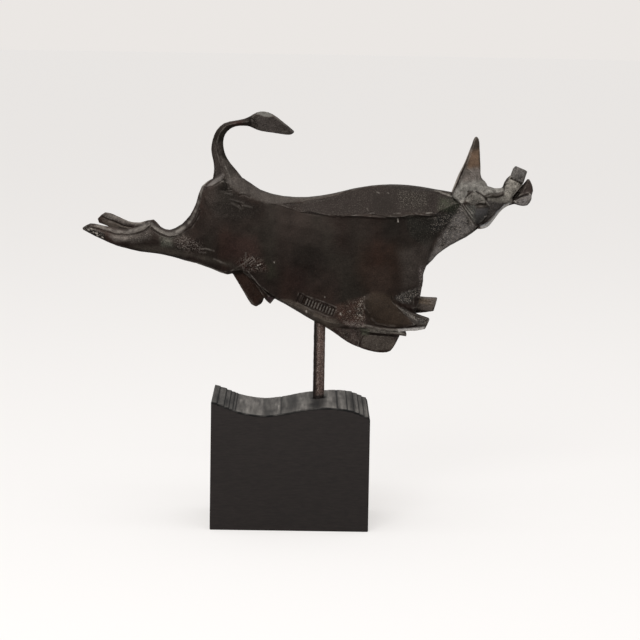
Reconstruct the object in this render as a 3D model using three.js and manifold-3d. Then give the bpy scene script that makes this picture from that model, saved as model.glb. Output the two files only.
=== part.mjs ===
// A leaping bull cast in bronze, held up by a round rod on a black wooden block with a wavy top.
// Millimetres, +Z up. X runs along the bull towards its head, and Y runs away from the viewer.
// The origin is the middle of the block's underside.
import * as THREE from "three";
import { ConvexGeometry } from "three/addons/geometries/ConvexGeometry.js";
import { mergeVertices } from "three/addons/utils/BufferGeometryUtils.js";
import Module from "manifold-3d";

// Driving dimensions.
const BLOCK = { width: 134, depth: 92, arris: 0.7, steps: 44 };
const WAVE = [
  [-67, 110], [-59, 107], [-48, 102.9], [-37, 100.2], [-23, 98.8], [-9, 100.2],
  [7, 103.5], [20, 105.6], [33, 106.2], [45, 105.1], [56, 102], [67, 97],
];
const ROD = { radius: 5, x: 23.7, y: 8, foot: 66, top: 184, sides: 40 };
const FIT = 0.3;
const FINEST = 0.03;

const wasm = await Module();
wasm.setup();

// Solids and meshes.
function solidFrom(geometry) {
  const plain = geometry.index ? geometry.toNonIndexed() : geometry.clone();
  const bare = new THREE.BufferGeometry().setAttribute("position", plain.getAttribute("position"));
  const merged = mergeVertices(bare, 1e-4);
  const solid = new wasm.Manifold(
    new wasm.Mesh({
      numProp: 3,
      vertProperties: new Float32Array(merged.attributes.position.array),
      triVerts: new Uint32Array(merged.index.array),
    }),
  );
  return solid;
}

function geometryFrom(solid) {
  const { numProp, vertProperties, triVerts } = solid.getMesh();
  const count = vertProperties.length / numProp;
  const points = new Float32Array(count * 3);
  for (let i = 0; i < count; i++) points.set(vertProperties.subarray(i * numProp, i * numProp + 3), i * 3);
  const geometry = new THREE.BufferGeometry();
  geometry.setAttribute("position", new THREE.BufferAttribute(points, 3));
  geometry.setIndex(new THREE.BufferAttribute(new Uint32Array(triVerts), 1));
  const faceted = geometry.toNonIndexed();
  faceted.computeVertexNormals();
  return faceted;
}

const joined = (solids) => solids.reduce((all, next) => all.add(next));

// A closed solid skinned over rings of [x, y, z] points, each ring going the same way round.
function skin(rings) {
  const sides = rings[0].length;
  const corners = rings.flat();
  const faces = [];
  for (let r = 0; r + 1 < rings.length; r++) {
    for (let s = 0; s < sides; s++) {
      const next = (s + 1) % sides;
      const [a, b] = [r * sides + s, r * sides + next];
      faces.push([a, b, b + sides], [a, b + sides, a + sides]);
    }
  }
  for (const [ring, turned] of [[0, true], [rings.length - 1, false]]) {
    const middle = corners.length;
    const sum = rings[ring].reduce((t, p) => t.map((v, i) => v + p[i] / sides), [0, 0, 0]);
    corners.push(sum);
    for (let s = 0; s < sides; s++) {
      const [a, b] = [ring * sides + s, ring * sides + ((s + 1) % sides)];
      faces.push(turned ? [b, a, middle] : [a, b, middle]);
    }
  }
  const volume = faces.reduce((total, [a, b, c]) => {
    const [p, q, r] = [a, b, c].map((i) => new THREE.Vector3(...corners[i]));
    return total + p.dot(q.cross(r)) / 6;
  }, 0);
  const outward = volume > 0 ? faces : faces.map(([a, b, c]) => [a, c, b]);
  const geometry = new THREE.BufferGeometry();
  geometry.setAttribute("position", new THREE.Float32BufferAttribute(corners.flat(), 3));
  geometry.setIndex(outward.flat());
  return solidFrom(geometry);
}

// Rings between the given ones, along a smooth curve through each ring point's places.
function smoothRings(rings, steps) {
  const rails = rings[0].map((_, s) => {
    const places = rings.map((ring) => new THREE.Vector3(...ring[s]));
    return new THREE.CatmullRomCurve3(places);
  });
  const count = (rings.length - 1) * steps;
  return Array.from({ length: count + 1 }, (_, i) => rails.map((rail) => rail.getPoint(i / count).toArray()));
}

// Each station of the trunk is a line across the side view, from a point on the back to one on the
// underside. The half thicknesses run down it: the crest of the back, the ridge under the bevelled
// band of the back, the flank, the belly's edge and the keel. A leg also starts with its inner face.
// band and bevel are how far down and up the line the ridge and the belly's edge are, and step is
// how far the band of the back stands out over the flank.
const TRUNK = [
  { top: [-96.5, 252.4], low: [-84.4, 221.8], band: 5.6, bevel: 3.2, half: [4, 13.5, 16, 12, 5] },
  { top: [-88.5, 261.3], low: [-69, 216.4], band: 6.5, bevel: 3.5, half: [4, 15, 18, 13, 5] },
  { top: [-83.3, 272.3], low: [-55.7, 211.8], band: 6.7, bevel: 3.5, half: [4.5, 16, 19.5, 14, 5] },
  { top: [-78.7, 286.2], low: [-42.6, 214.5], band: 3.2, bevel: 3, half: [6, 14.5, 20, 14, 5] },
  { top: [-69.3, 293.2], low: [-29.7, 203.4], band: 3.6, bevel: 3, half: [6, 14, 19.5, 14, 5] },
  { top: [-57, 296], low: [-15, 191.7], band: 7, bevel: 4, half: [5, 13, 19, 14, 5] },
  { top: [-43, 293.6], low: [-7.2, 187.6], band: 11.5, bevel: 4.5, half: [4, 12.5, 18.5, 14.5, 5] },
  { top: [-29.1, 284.3], low: [3.2, 181.7], band: 8.8, bevel: 5, half: [4, 11.5, 18, 15, 5.5] },
  { top: [-8.6, 279.1], low: [13.5, 175.9], band: 7.5, bevel: 5.5, half: [4, 11.5, 17.5, 15, 6] },
  { top: [11.9, 278.7], low: [24, 170.5], band: 10.5, bevel: 6, half: [4, 12.5, 17.5, 15.5, 6.5] },
  { top: [32.3, 281.9], low: [35, 167.1], band: 17.5, bevel: 5.5, half: [4, 15, 18.5, 16.5, 8], step: 0.6 },
  { top: [52.7, 287], low: [52, 166.3], band: 22, bevel: 4.5, half: [4, 17.5, 19, 17, 10], step: 1 },
  { top: [73.1, 290.1], low: [72, 164], band: 26, bevel: 5, half: [4, 19, 19.4, 16.6, 11], step: 1.5 },
  { top: [90, 290.6], low: [88, 164], band: 26, bevel: 5, half: [4, 19.5, 19.2, 15.8, 10], step: 1.6 },
  { top: [103.8, 289.6], low: [99, 168], band: 23.7, bevel: 5, half: [4, 19.5, 18.5, 13, 7], step: 1.9 },
  { top: [114.1, 288.1], low: [105.5, 182], band: 21.6, bevel: 4, half: [4, 19, 17, 10, 4], step: 2 },
  { top: [121, 286.9], low: [109.4, 196], band: 20.3, bevel: 3.5, half: [4, 17.5, 16, 9, 3], step: 1.4 },
  { top: [127, 286.1], low: [111, 211], band: 17, bevel: 3, half: [4, 15.5, 14.5, 8, 3], step: 0.8 },
  { top: [132.5, 285.2], low: [113.5, 221], band: 13.5, bevel: 3, half: [4, 13.5, 13, 8, 3] },
  { top: [136.5, 284.4], low: [120.5, 229.3], band: 10.5, bevel: 3, half: [4, 12, 12, 8, 3] },
  { top: [141.5, 284.4], low: [133.5, 239.4], band: 8, bevel: 3, half: [4, 10.5, 10.6, 8, 3] },
  { top: [148, 285.5], low: [147.4, 247], band: 7, bevel: 2.5, half: [4, 9.5, 9.6, 7, 3] },
  { top: [154, 286.5], low: [156.5, 253.6], band: 6, bevel: 2.5, half: [4, 8, 8.6, 6, 3] },
];
const NEAR_LEG = [
  { top: [-180, 249.8], low: [-179.4, 248.2], band: 0.4, bevel: 0.4, half: [3, 4, 5, 5.3, 5, 4] },
  { top: [-173, 253.8], low: [-171.3, 244.1], band: 1, bevel: 1.5, half: [3, 4.5, 7.5, 9, 7.5, 5] },
  { top: [-163.9, 252.4], low: [-161.1, 239.4], band: 2.4, bevel: 2, half: [3, 5, 9, 10.5, 9, 5] },
  { top: [-153.7, 250.4], low: [-150.9, 235.2], band: 3.8, bevel: 2.5, half: [3, 5, 10, 11.5, 9.5, 5] },
  { top: [-142.5, 249.2], low: [-140.6, 232.5], band: 3.6, bevel: 2.5, half: [2.5, 5, 10.5, 12, 10, 5] },
  { top: [-132.4, 251.4], low: [-130.4, 230.3], band: 3.4, bevel: 2.5, half: [2, 5, 11, 12.5, 10, 5] },
  { top: [-122.6, 256.3], low: [-120.2, 229.3], band: 2.4, bevel: 3, half: [1.5, 5, 11, 13, 10.5, 5] },
  { top: [-114.5, 251.6], low: [-110, 227.8], band: 3.4, bevel: 3, half: [0.5, 5, 11.5, 13.5, 11, 5] },
  { top: [-105.6, 248.9], low: [-99.7, 225.5], band: 4.5, bevel: 3, half: [-1, 4.7, 12.4, 14.8, 11.7, 5.2] },
  { top: [-97, 253], low: [-84, 221.3], band: 5.6, bevel: 3.2, half: [-1, 4.3, 13.8, 16.4, 12.4, 5] },
  { top: [-88, 258], low: [-73, 221], band: 5.6, bevel: 3.2, half: [-1, 3, 12, 14, 10, 4] },
];
const FAR_LEG = [
  { top: [-167.6, 257.2], low: [-166.4, 253.6], band: 1, bevel: 0.8, half: [3, 4.5, 6, 6.5, 6, 5] },
  { top: [-161.5, 262.2], low: [-158.7, 250.6], band: 2, bevel: 1.5, half: [3, 4.5, 8, 9.5, 8, 5] },
  { top: [-152.2, 258.8], low: [-149.5, 245.4], band: 3, bevel: 2, half: [3, 5, 9.5, 11, 9, 5] },
  { top: [-141.9, 255.4], low: [-139.5, 240.6], band: 3, bevel: 2.5, half: [2.5, 5, 10, 11.5, 9.5, 5] },
  { top: [-131.6, 254.4], low: [-129.5, 236.4], band: 3, bevel: 2.5, half: [2, 5, 10.5, 12, 10, 5] },
  { top: [-119.6, 257.2], low: [-119, 232], band: 3, bevel: 3, half: [1.5, 5, 11, 13, 10.5, 5] },
  { top: [-113.6, 251], low: [-109.5, 228.6], band: 3.4, bevel: 3, half: [0.5, 5, 11.5, 13.5, 11, 5] },
  { top: [-105.6, 248.5], low: [-99.7, 225.9], band: 4.5, bevel: 3, half: [-0.6, 4.5, 12.2, 14.7, 11.6, 5] },
  { top: [-96.8, 252.7], low: [-84.2, 221.6], band: 5.6, bevel: 3.2, half: [-0.6, 4.2, 13.7, 16.2, 12.2, 5] },
  { top: [-87, 257], low: [-73, 222], band: 5.6, bevel: 3.2, half: [-0.6, 3, 12, 13.8, 9.8, 4] },
];
const CROWN = 0.3;
const FLANK_STEPS = 6;
const STATION_STEPS = 2;

function sidePoints({ top, low, band, bevel, step = 0.3 }, [crest, ridge, flank, belly, keel], side) {
  const length = Math.hypot(low[0] - top[0], low[1] - top[1]);
  const at = (share, thickness) => [
    THREE.MathUtils.lerp(top[0], low[0], share),
    side * thickness,
    THREE.MathUtils.lerp(top[1], low[1], share),
  ];
  const [start, end] = [(band + step) / length, 1 - bevel / length];
  const under = ridge - step;
  const cheek = new THREE.QuadraticBezierCurve(
    new THREE.Vector2(start, under),
    new THREE.Vector2((start + end) / 2, 2 * flank - (under + belly) / 2),
    new THREE.Vector2(end, belly),
  );
  const curved = cheek.getPoints(FLANK_STEPS).map(({ x, y }) => at(x, y));
  return [at(0, crest), at(band / length, ridge), ...curved, at(1, keel)];
}

function trunk() {
  const rings = TRUNK.map((station) => {
    const { top, low, half } = station;
    const near = sidePoints(station, half, -1);
    const far = sidePoints(station, half, 1).reverse();
    return [[top[0], 0, top[1] + CROWN], ...near, [low[0], 0, low[1] - CROWN], ...far];
  });
  return skin(smoothRings(rings, STATION_STEPS));
}

function hindLeg(stations, side) {
  const rings = stations.map((station) => {
    const [inner, ...half] = station.half;
    const { top, low } = station;
    return [
      [top[0], side * inner, top[1]],
      ...sidePoints(station, half, side),
      [low[0], side * inner, low[1]],
    ];
  });
  return skin(smoothRings(rings, STATION_STEPS));
}

// A limb with a ridge or two along each face. Each station has its two edges in the side view, the
// half thickness at the ridges, and perhaps how far the limb's middle is from the bull's middle.
// edge is the edges' thickness as a share of the ridges', and ridges are how far each ridge is from
// the first edge, as a share of the limb's height.
function blade(stations, { edge = 0.45, ridges = [0.45], shift = 0, steps = 3 } = {}) {
  const rings = stations.map(([first, second, half, lean = shift]) => {
    const at = (share, y) => [
      THREE.MathUtils.lerp(first[0], second[0], share),
      lean + y,
      THREE.MathUtils.lerp(first[1], second[1], share),
    ];
    const thin = half * edge;
    const near = ridges.map((ridge) => at(ridge, -half));
    const far = ridges.map((ridge) => at(ridge, half)).reverse();
    return [at(0, -thin), ...near, at(1, -thin), at(1, thin), ...far, at(0, thin)];
  });
  return skin(smoothRings(rings, steps));
}

// The solid that has the given points as its corners.
const hull = (points) => solidFrom(new ConvexGeometry(points.map((point) => new THREE.Vector3(...point))));

// The tail rises from the rump in a hook, and ends in a tuft.
function tail() {
  return blade(
    [
      [[-72.5, 276], [-30, 272], 9],
      [[-69.3, 293.8], [-45.6, 296], 7.5],
      [[-68.3, 302.3], [-51.3, 302.7], 6.2],
      [[-69.3, 309.1], [-56.6, 309.5], 5.4],
      [[-71, 317.6], [-60, 317], 4.8],
      [[-70, 326.1], [-60.9, 324.9], 4.6],
      [[-66.7, 334.4], [-59.2, 331.2], 4.2],
      [[-60.3, 340.5], [-55.3, 335.6], 3.8],
      [[-51.1, 342.9], [-50.2, 338], 3.4],
      [[-43.5, 344.5], [-43.4, 338.6], 3.6],
      [[-38.6, 346.6], [-38.2, 338], 5.2],
      [[-33, 350], [-33, 335.9], 6.8],
      [[-26.6, 351], [-27.6, 334.4], 7],
      [[-19.4, 348.9], [-19.4, 333.4], 6.4],
      [[-11.2, 343.1], [-11.1, 332.2], 5],
      [[-3.6, 337.2], [-4.2, 331.6], 3.2],
      [[-0.4, 334.4], [-1.6, 332.8], 1.6],
    ],
    { ridges: [0.45], edge: 0.4, steps: 2 },
  );
}

// The horns rise from the brow and spread apart. The far one is a little shorter.
function horn(side, drop) {
  const spread = [
    [[132.6, 279.6], [168, 280], 6, side * 5],
    [[137.2, 291.5], [163.4, 293.4], 5, side * 6],
    [[140.4, 299.8], [158.8, 298.5 - drop * 0.2], 4.4, side * 7],
    [[144.3, 310 - drop * 0.4], [157.6, 309.6 - drop * 0.4], 3.7, side * 9],
    [[148.4, 321.9 - drop * 0.7], [156.6, 322 - drop * 0.7], 2.9, side * 11],
    [[151, 330.9 - drop], [155.5, 331 - drop], 1.9, side * 12.6],
    [[152.4, 333.4 - drop], [153.9, 333.5 - drop], 0.8, side * 13.2],
  ];
  return blade(spread, { ridges: [0.2], edge: 0.4 });
}

// The eyelid, the eye under it, and the cheek, on one side of the head.
function face(side) {
  const lid = [
    [[146.3, 280.6], [146.8, 279.2], 1.2],
    [[147.9, 285.3], [150.1, 275.6], 2],
    [[152, 286.7], [153.6, 276.8], 2.6],
    [[155.5, 286.3], [157, 277.4], 2.9],
    [[159.2, 284.1], [160.7, 277.2], 2.9],
    [[162, 281.1], [163, 276.6], 2.5],
    [[165.6, 276.6], [165.8, 275.4], 1.6],
  ];
  const cheek = [
    [[153.4, 275.4], [164.6, 275.6], 2],
    [[152.4, 271], [166, 271.2], 3.1],
    [[153.5, 266.7], [165, 266.5], 3.2],
    [[155.3, 262.5], [162.8, 262.2], 2.8],
    [[157.4, 258.2], [158.9, 258.3], 1.8],
  ];
  const eye = [
    [[155.6, 276.3], [155.8, 275.5], 1.2],
    [[158.8, 277.4], [158.8, 274.4], 2.3],
    [[162.2, 276.2], [162, 275.5], 1.2],
  ];
  return [
    blade(lid, { shift: side * 9.8, ridges: [0.3, 0.75], edge: 0.7, steps: 2 }),
    blade(cheek, { shift: side * 9.3, ridges: [0.3, 0.7], edge: 0.6, steps: 2 }),
    blade(eye, { shift: side * 9.9, ridges: [0.5], edge: 0.5, steps: 1 }),
  ];
}

// The head: skull, raised upper jaw with a square nose, and the lower jaw with the curled tongue.
function head() {
  const skull = [
    [[136.8, 284], [153.2, 254.2], 11.4],
    [[146.4, 286.4], [158.4, 254.4], 11.8],
    [[156, 290.6], [162.8, 255], 11.6],
    [[164.3, 290.6], [167, 257.6], 10.8],
    [[171.2, 288.6], [172.2, 265], 9.2],
    [[177.2, 288.8], [177.2, 271.2], 7.6],
    [[183.4, 288], [183.4, 275], 6.2],
  ];
  const upperJaw = [
    [[173.4, 288.6], [184, 275.4], 6.6],
    [[177.9, 291.9], [187.2, 281.7], 6.4],
    [[181.2, 297], [191.2, 288.8], 6.8],
    [[184.2, 299.8], [195, 293.8], 7.2],
  ];
  const nose = [
    [[184.4, 298.6], [194.9, 294], 8],
    [[185.9, 303.4], [196.3, 299], 8.4],
    [[187.6, 308.4], [198, 304.2], 7.6],
  ];
  const chin = [
    [[177, 281.6], [178, 272.4], 6.4],
    [[186.8, 280.4], [187.6, 276], 5.8],
    [[192.4, 281.2], [192.6, 274.6], 6.8],
    [[198.4, 283.4], [198.9, 275], 7],
    [[202.4, 284.6], [202, 279.4], 5.8],
  ];
  const tongue = [
    [[186.6, 281.4], [201.6, 281.2], 4.6],
    [[190.6, 286.8], [203.6, 287.4], 4.4],
    [[195.6, 293], [202.6, 292.8], 3.4],
    [[198.6, 297.2], [200.2, 297.2], 1.6],
  ];
  return joined([
    blade(skull, { ridges: [0.24, 0.76], edge: 0.55, steps: 2 }),
    blade(upperJaw, { ridges: [0.3, 0.75], edge: 0.6, steps: 2 }),
    blade(nose, { ridges: [0.2, 0.85], edge: 0.8, steps: 1 }),
    blade(chin, { ridges: [0.4, 0.75], edge: 0.6, steps: 2 }),
    blade(tongue, { ridges: [0.35], edge: 0.6, steps: 2 }),
    horn(-1, 0),
    horn(1, 7),
    ...face(-1),
    ...face(1),
  ]);
}

// The upper foreleg lies along the flank as a long leaf that ends in a point.
function upperForeleg(side) {
  const leaf = [
    [[60, 201], [61, 184], 9.4],
    [[66, 206], [66.5, 177.6], 9.8],
    [[74, 205], [74.5, 172.8], 10],
    [[82, 198], [82, 170.8], 10],
    [[89, 190], [89.5, 170.3], 9.8],
    [[97, 181.8], [97.5, 170.3], 9.4],
    [[106, 174.4], [105.5, 172.4], 8.8],
  ];
  return blade(leaf, { shift: side * 10.2, ridges: [0.45, 0.84], edge: 0.8, steps: 2 });
}

// The near foreleg ends in a cut stump, under the point of the leaf.
function nearStump() {
  const stump = [
    [[74, 198], [74, 167.6], 8],
    [[89.6, 189.6], [91.4, 166.4], 8.2],
    [[98.9, 184], [99, 167], 8.2],
    [[106.1, 181], [106, 167.2], 7.8],
    [[117.4, 177.3], [113.6, 168.6], 6.2],
  ];
  return blade(stump, { shift: -10, ridges: [0.5], edge: 0.66, steps: 2 });
}

// The far foreleg reaches further forward, and is higher.
function farStump() {
  const stump = [
    [[84, 200], [85, 180.6], 6.2],
    [[104.9, 194.2], [106.5, 179.9], 6],
    [[124.6, 193.2], [121.6, 181.8], 5.2],
  ];
  return blade(stump, { shift: 8, ridges: [0.4], edge: 0.66, steps: 2 });
}

// A thin strip runs under each foreleg, as far as the end of the brisket.
function strip(side) {
  const line = [
    [[48, 174], [48, 169.6], 4],
    [[62, 170], [62, 166], 7.2],
    [[78, 168], [78, 164], 8.2],
    [[90, 166.6], [90, 163], 7.6],
    [[98, 164.6], [97.7, 161.9], 6.4],
  ];
  return blade(line, { shift: side * 7, ridges: [0.5], edge: 0.85, steps: 2 });
}

// The hollow in the breast, between the near flank and the forelegs, is a three-sided notch.
function notch(side) {
  const [inward, outward] = [side * 4, side * 26];
  const point = [86.8, side * 20, 194.4];
  const above = [108.5, side * 17, 206.4];
  const below = [102.5, side * 17, 183];
  const beyond = [112, inward, 193];
  return hull([
    point, above, below, beyond,
    [118, inward, 207], [116, inward, 184],
    [118, outward, 208], [114, outward, 183], [85, outward, 194.4],
  ]);
}

// The brisket hangs between the forelegs as a slab, thinner in front of a crease, and cut off
// at a slant.
function brisket() {
  const back = [
    [[24, 196], [27, 168.9], 10],
    [[34, 192], [34.6, 164.6], 11.4],
    [[44, 188], [44.6, 157.6], 12],
    [[52, 184], [51, 153.9], 12],
    [[61.5, 180], [57, 151.4], 11.4],
  ];
  const front = [
    [[50, 184], [50.4, 154.4], 9.4],
    [[60, 180], [60.4, 150], 9.8],
    [[70, 176], [70.4, 147.4], 9.6],
    [[78.6, 174], [78.4, 146.6], 9.2],
    [[84.6, 172], [84.6, 148.2], 8.8],
    [[89.4, 170], [89, 154.6], 8.6],
    [[92.8, 168], [92.6, 162.2], 8.4],
  ];
  return joined([
    blade(back, { ridges: [0.5], edge: 0.75, steps: 2 }),
    blade(front, { ridges: [0.55], edge: 0.75, steps: 2 }),
  ]);
}

// The sheath under the loin: a dished slab, with a thin wall in front of it.
function sheath() {
  const slab = [
    [[-51.6, 213], [-35, 222], 5.8],
    [[-46.6, 205], [-36, 212], 5.8],
    [[-40.6, 195], [-30.6, 201], 5.4],
    [[-35, 186.2], [-24.6, 191.4], 5],
    [[-30.8, 184.4], [-26.6, 187], 4.4],
  ];
  const wall = [
    [[-43, 216], [-34, 222], 9.4],
    [[-36, 208], [-30, 212], 9],
    [[-28.4, 199], [-20.4, 201.6], 8.4],
    [[-22.8, 190.6], [-13.8, 193.4], 7.8],
    [[-18.9, 187.2], [-15.4, 191.8], 7.4],
  ];
  return joined([
    blade(slab, { ridges: [0.2], edge: 0.9, steps: 2 }),
    blade(wall, { ridges: [0.5], edge: 0.92, steps: 2 }),
  ]);
}

// A shallow sunk panel near the rod holds a row of raised strokes. The panel's own frame is turned
// down to the right, and leans and turns with the flank.
const PANEL = {
  length: 33, height: 8.6, sunk: 0.9,
  x: 19.8, z: 188.6, face: -16.6,
  slope: 20.6, lean: 5.4, turn: -2.2,
};
const STROKE = { count: 14, width: 0.9, height: 6.4, proud: 0.7, first: -14, pitch: 2.15 };

function inPanel([length, thickness, height], [x, y, z]) {
  const { degToRad } = THREE.MathUtils;
  const turned = new THREE.Euler(degToRad(PANEL.lean), degToRad(PANEL.slope), degToRad(PANEL.turn), "YZX");
  const box = new THREE.BoxGeometry(length, thickness, height);
  box.translate(x, y, z);
  box.applyMatrix4(new THREE.Matrix4().makeRotationFromEuler(turned));
  box.translate(PANEL.x, PANEL.face, PANEL.z);
  return solidFrom(box);
}

function markPanel(cast) {
  const { length, height, sunk } = PANEL;
  const depth = 6;
  const sink = inPanel([length, depth, height], [0, sunk - depth / 2, 0]);
  const strokes = Array.from({ length: STROKE.count }, (_, i) => {
    const tall = STROKE.height * [1, 0.7, 1, 0.8][i % 4];
    const lift = [0, 0.9, 0, -0.6][i % 4];
    const along = STROKE.first + i * STROKE.pitch;
    return inPanel([STROKE.width, 2, tall], [along, sunk - STROKE.proud + 1, lift]);
  });
  return cast.subtract(sink).add(joined(strokes));
}

// The rod, and the sockets that it stands in, which are a little wider and deeper.
function bar(radius, foot, top) {
  const cylinder = new THREE.CylinderGeometry(radius, radius, top - foot, ROD.sides);
  cylinder.rotateX(Math.PI / 2);
  cylinder.translate(0, 0, (foot + top) / 2);
  return cylinder;
}

function bull() {
  const cast = joined([
    trunk().subtract(notch(-1)).subtract(notch(1)),
    hindLeg(NEAR_LEG, -1),
    hindLeg(FAR_LEG, 1),
    tail(),
    head(),
    upperForeleg(-1),
    upperForeleg(1),
    nearStump(),
    farStump(),
    strip(-1),
    strip(1),
    brisket(),
    sheath(),
  ]);
  const socket = bar(ROD.radius + FIT, ROD.foot, ROD.top + FIT);
  socket.translate(ROD.x, 0, 0);
  return markPanel(cast).subtract(solidFrom(socket)).simplify(FINEST);
}

// The block is sawn with a wavy top, and its edges are slightly broken.
function block() {
  const { width, depth, arris } = BLOCK;
  const wave = new THREE.SplineCurve(WAVE.map(([x, z]) => new THREE.Vector2(x, z)));
  const section = (x, top, inset) => {
    const [side, foot, crest] = [depth / 2 - inset, inset, top - inset];
    const [flat, rise] = [side - arris, arris];
    return [
      [x, -flat, foot], [x, flat, foot], [x, side, foot + rise], [x, side, crest - rise],
      [x, flat, crest], [x, -flat, crest], [x, -side, crest - rise], [x, -side, foot + rise],
    ];
  };
  const places = wave.getPoints(BLOCK.steps).slice(1, -1);
  const [start, end] = [WAVE[0], WAVE[WAVE.length - 1]];
  const body = skin([
    section(-width / 2, start[1], arris),
    section(-width / 2 + arris, start[1] - arris * 0.3, 0),
    ...places.map(({ x, y }) => section(x, y, 0)),
    section(width / 2 - arris, end[1] + arris * 0.4, 0),
    section(width / 2, end[1], arris),
  ]);
  const socket = bar(ROD.radius + FIT, ROD.foot - FIT, ROD.top);
  socket.translate(ROD.x, ROD.y, 0);
  return body.subtract(solidFrom(socket));
}

// Materials.
const bronze = new THREE.MeshStandardMaterial({ color: 0x2b2420, roughness: 0.45, metalness: 0.85 });
const iron = new THREE.MeshStandardMaterial({ color: 0x4a3a34, roughness: 0.6, metalness: 0.7 });
const blackWood = new THREE.MeshStandardMaterial({ color: 0x1f1d1c, roughness: 0.55, metalness: 0 });

const bullMesh = new THREE.Mesh(geometryFrom(bull()), bronze);
bullMesh.name = "bull";
bullMesh.position.y = ROD.y;

const rodMesh = new THREE.Mesh(bar(ROD.radius, ROD.foot, ROD.top), iron);
rodMesh.name = "rod";
rodMesh.position.set(ROD.x, ROD.y, 0);

const blockMesh = new THREE.Mesh(geometryFrom(block()), blackWood);
blockMesh.name = "block";

const sculpture = new THREE.Group();
sculpture.add(bullMesh, rodMesh, blockMesh);
export default sculpture;
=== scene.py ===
"""A leaping bull in cast bronze, on a rod over a black wooden block, dressed over its solids.

Lengths are in millimetres, and MM turns them into metres. Places on the bull are (x, z) in its side
view, and a flank is -1 on the near side, towards the camera, and 1 on the far side.
"""

import itertools
import math

import bmesh
import bpy
import numpy as np
from mathutils import Matrix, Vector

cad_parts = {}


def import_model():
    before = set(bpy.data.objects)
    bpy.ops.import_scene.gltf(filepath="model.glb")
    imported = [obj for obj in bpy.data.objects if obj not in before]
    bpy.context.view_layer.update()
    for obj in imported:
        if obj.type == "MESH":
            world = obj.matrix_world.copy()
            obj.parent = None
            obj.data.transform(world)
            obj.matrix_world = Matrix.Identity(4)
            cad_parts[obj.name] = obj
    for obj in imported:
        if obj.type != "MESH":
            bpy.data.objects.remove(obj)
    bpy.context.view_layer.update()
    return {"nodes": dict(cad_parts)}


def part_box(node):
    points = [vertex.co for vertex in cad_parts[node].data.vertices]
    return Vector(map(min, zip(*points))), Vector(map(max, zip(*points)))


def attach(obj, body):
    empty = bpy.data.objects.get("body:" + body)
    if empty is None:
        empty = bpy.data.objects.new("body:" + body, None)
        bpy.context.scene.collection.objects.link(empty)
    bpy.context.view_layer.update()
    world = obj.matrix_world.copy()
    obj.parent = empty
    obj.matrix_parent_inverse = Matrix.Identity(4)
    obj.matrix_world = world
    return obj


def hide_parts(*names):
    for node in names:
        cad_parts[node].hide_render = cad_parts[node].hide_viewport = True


MM = 0.001
NEAR, FAR = -1, 1

# The camera stands in front of the block, a little above the bull's middle.
CAMERA = {"place": (3.5, -2044, 441.6), "down": 7.45, "right": 0.57, "roll": 0.97, "lens": 135.6}

# The solids' own sizes.
MIDDLE = 8
ROD = {"x": 23.7, "y": 8, "radius": 5, "foot": 66, "top": 184}
ROD_SIDES, ROD_STEPS = 64, 260
BLOCK = {"arris": 0.8, "lines": 80, "sections": 400}

# The saw's marks on the block: where its steps end, and its single cuts as (x, width, depth).
LEFT_STEPS = [-66, -61.9, -56.1, -52, -48.7, -46.5]
RIGHT_STEPS = [44.5, 47.7, 53.4, 57.9, 61.8, 65.8]
STEP_EDGE, STEP_RISE = 0.9, 0.45
# Its top stands higher at the back of its right end.
BACK_RISE = {"from": 22, "full": 56, "rise": 2}
SAW_CUTS = [(-21.5, 4, 0.4), (-8.2, 1.4, 0.7), (-1, 4, 0.4), (21.5, 7, 0.6), (39.3, 1.3, 0.9)]
SAW_GRAIN = 0.12
# How light its top is from left to right, as (x, lightness), and its patches, each (x, y, half width,
# half length, change).
TOP_TONES = [(-67, 0.25), (-46, 0.28), (-43, 0.5), (-24, 0.5), (-18, 0.42), (-10, 0.5), (0, 0.42), (12, 0.46),
    (22, 0.34), (28, 0.42), (31, 0.62), (46, 0.5), (50, 0.34), (67, 0.32)]
TOP_PATCHES = [(-62, -22, 1.6, 24, -0.25), (-58, 10, 1.8, 40, 0.1), (-54.5, -18, 1.8, 26, -0.25),
    (-49.5, -5, 2.6, 40, -0.16), (-19, -28, 6, 20, -0.3), (-13, 0, 1.2, 34, 0.16), (-10.4, 0, 0.9, 30, 0.2),
    (-6.6, -8, 2, 42, -0.32), (3, 4, 4.2, 44, -0.36), (9, 10, 2, 40, 0.1), (13.5, -16, 4, 10, 0.18),
    (17, -24, 2.5, 8, -0.2), (24, -24, 9, 26, -0.3), (39.8, 0, 1.1, 70, -0.4), (43, -5, 1.5, 50, 0.12),
    (47.4, -20, 1.1, 28, -0.35), (52.6, -4, 2.2, 60, -0.28), (56.4, 0, 1, 60, 0.15), (61, 0, 1.3, 60, 0.12),
    (65, -10, 1.6, 50, 0.2)]

# The stage, in metres, and its light. CEILING is how bright the room is at each height, from -1
# straight down to 1 straight up.
FLOOR_SIZE = 40
PAPER = (0.36, 0.362, 0.364)
PAPER_GLOW = (0.568, 0.546, 0.528)
BACKDROP = (0.83, 0.80, 0.775)
CEILING = [(-1, 0.03), (0, 0.07), (0.25, 0.1), (0.5, 0.3), (0.8, 0.6), (1, 0.65)]
CEILING_STRENGTH = 1.5

# How finely the bronze is meshed.
VOXEL = 0.5
SMOOTHINGS = 3
MOST_TRIANGLES = 190000

# How widely its edges are felt for, and how sharp they are where the rubbing and painted highlight on convex
# edges, and the painted shade in hollows, begin and are full.
EDGE_REACH = 4
EDGES = (0.04, 0.15)

# How much of their stated height the lines have, and the tone above which a line isn't broken up.
RELIEF = 0.75
WHOLE = 0.65


# Numbers along paths and areas.
def ease(low, high, value):
    """0 below low and 1 above high, with a smooth rise between them."""
    t = np.clip((value - low) / (high - low), 0, 1)
    return t * t * (3 - 2 * t)


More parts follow.
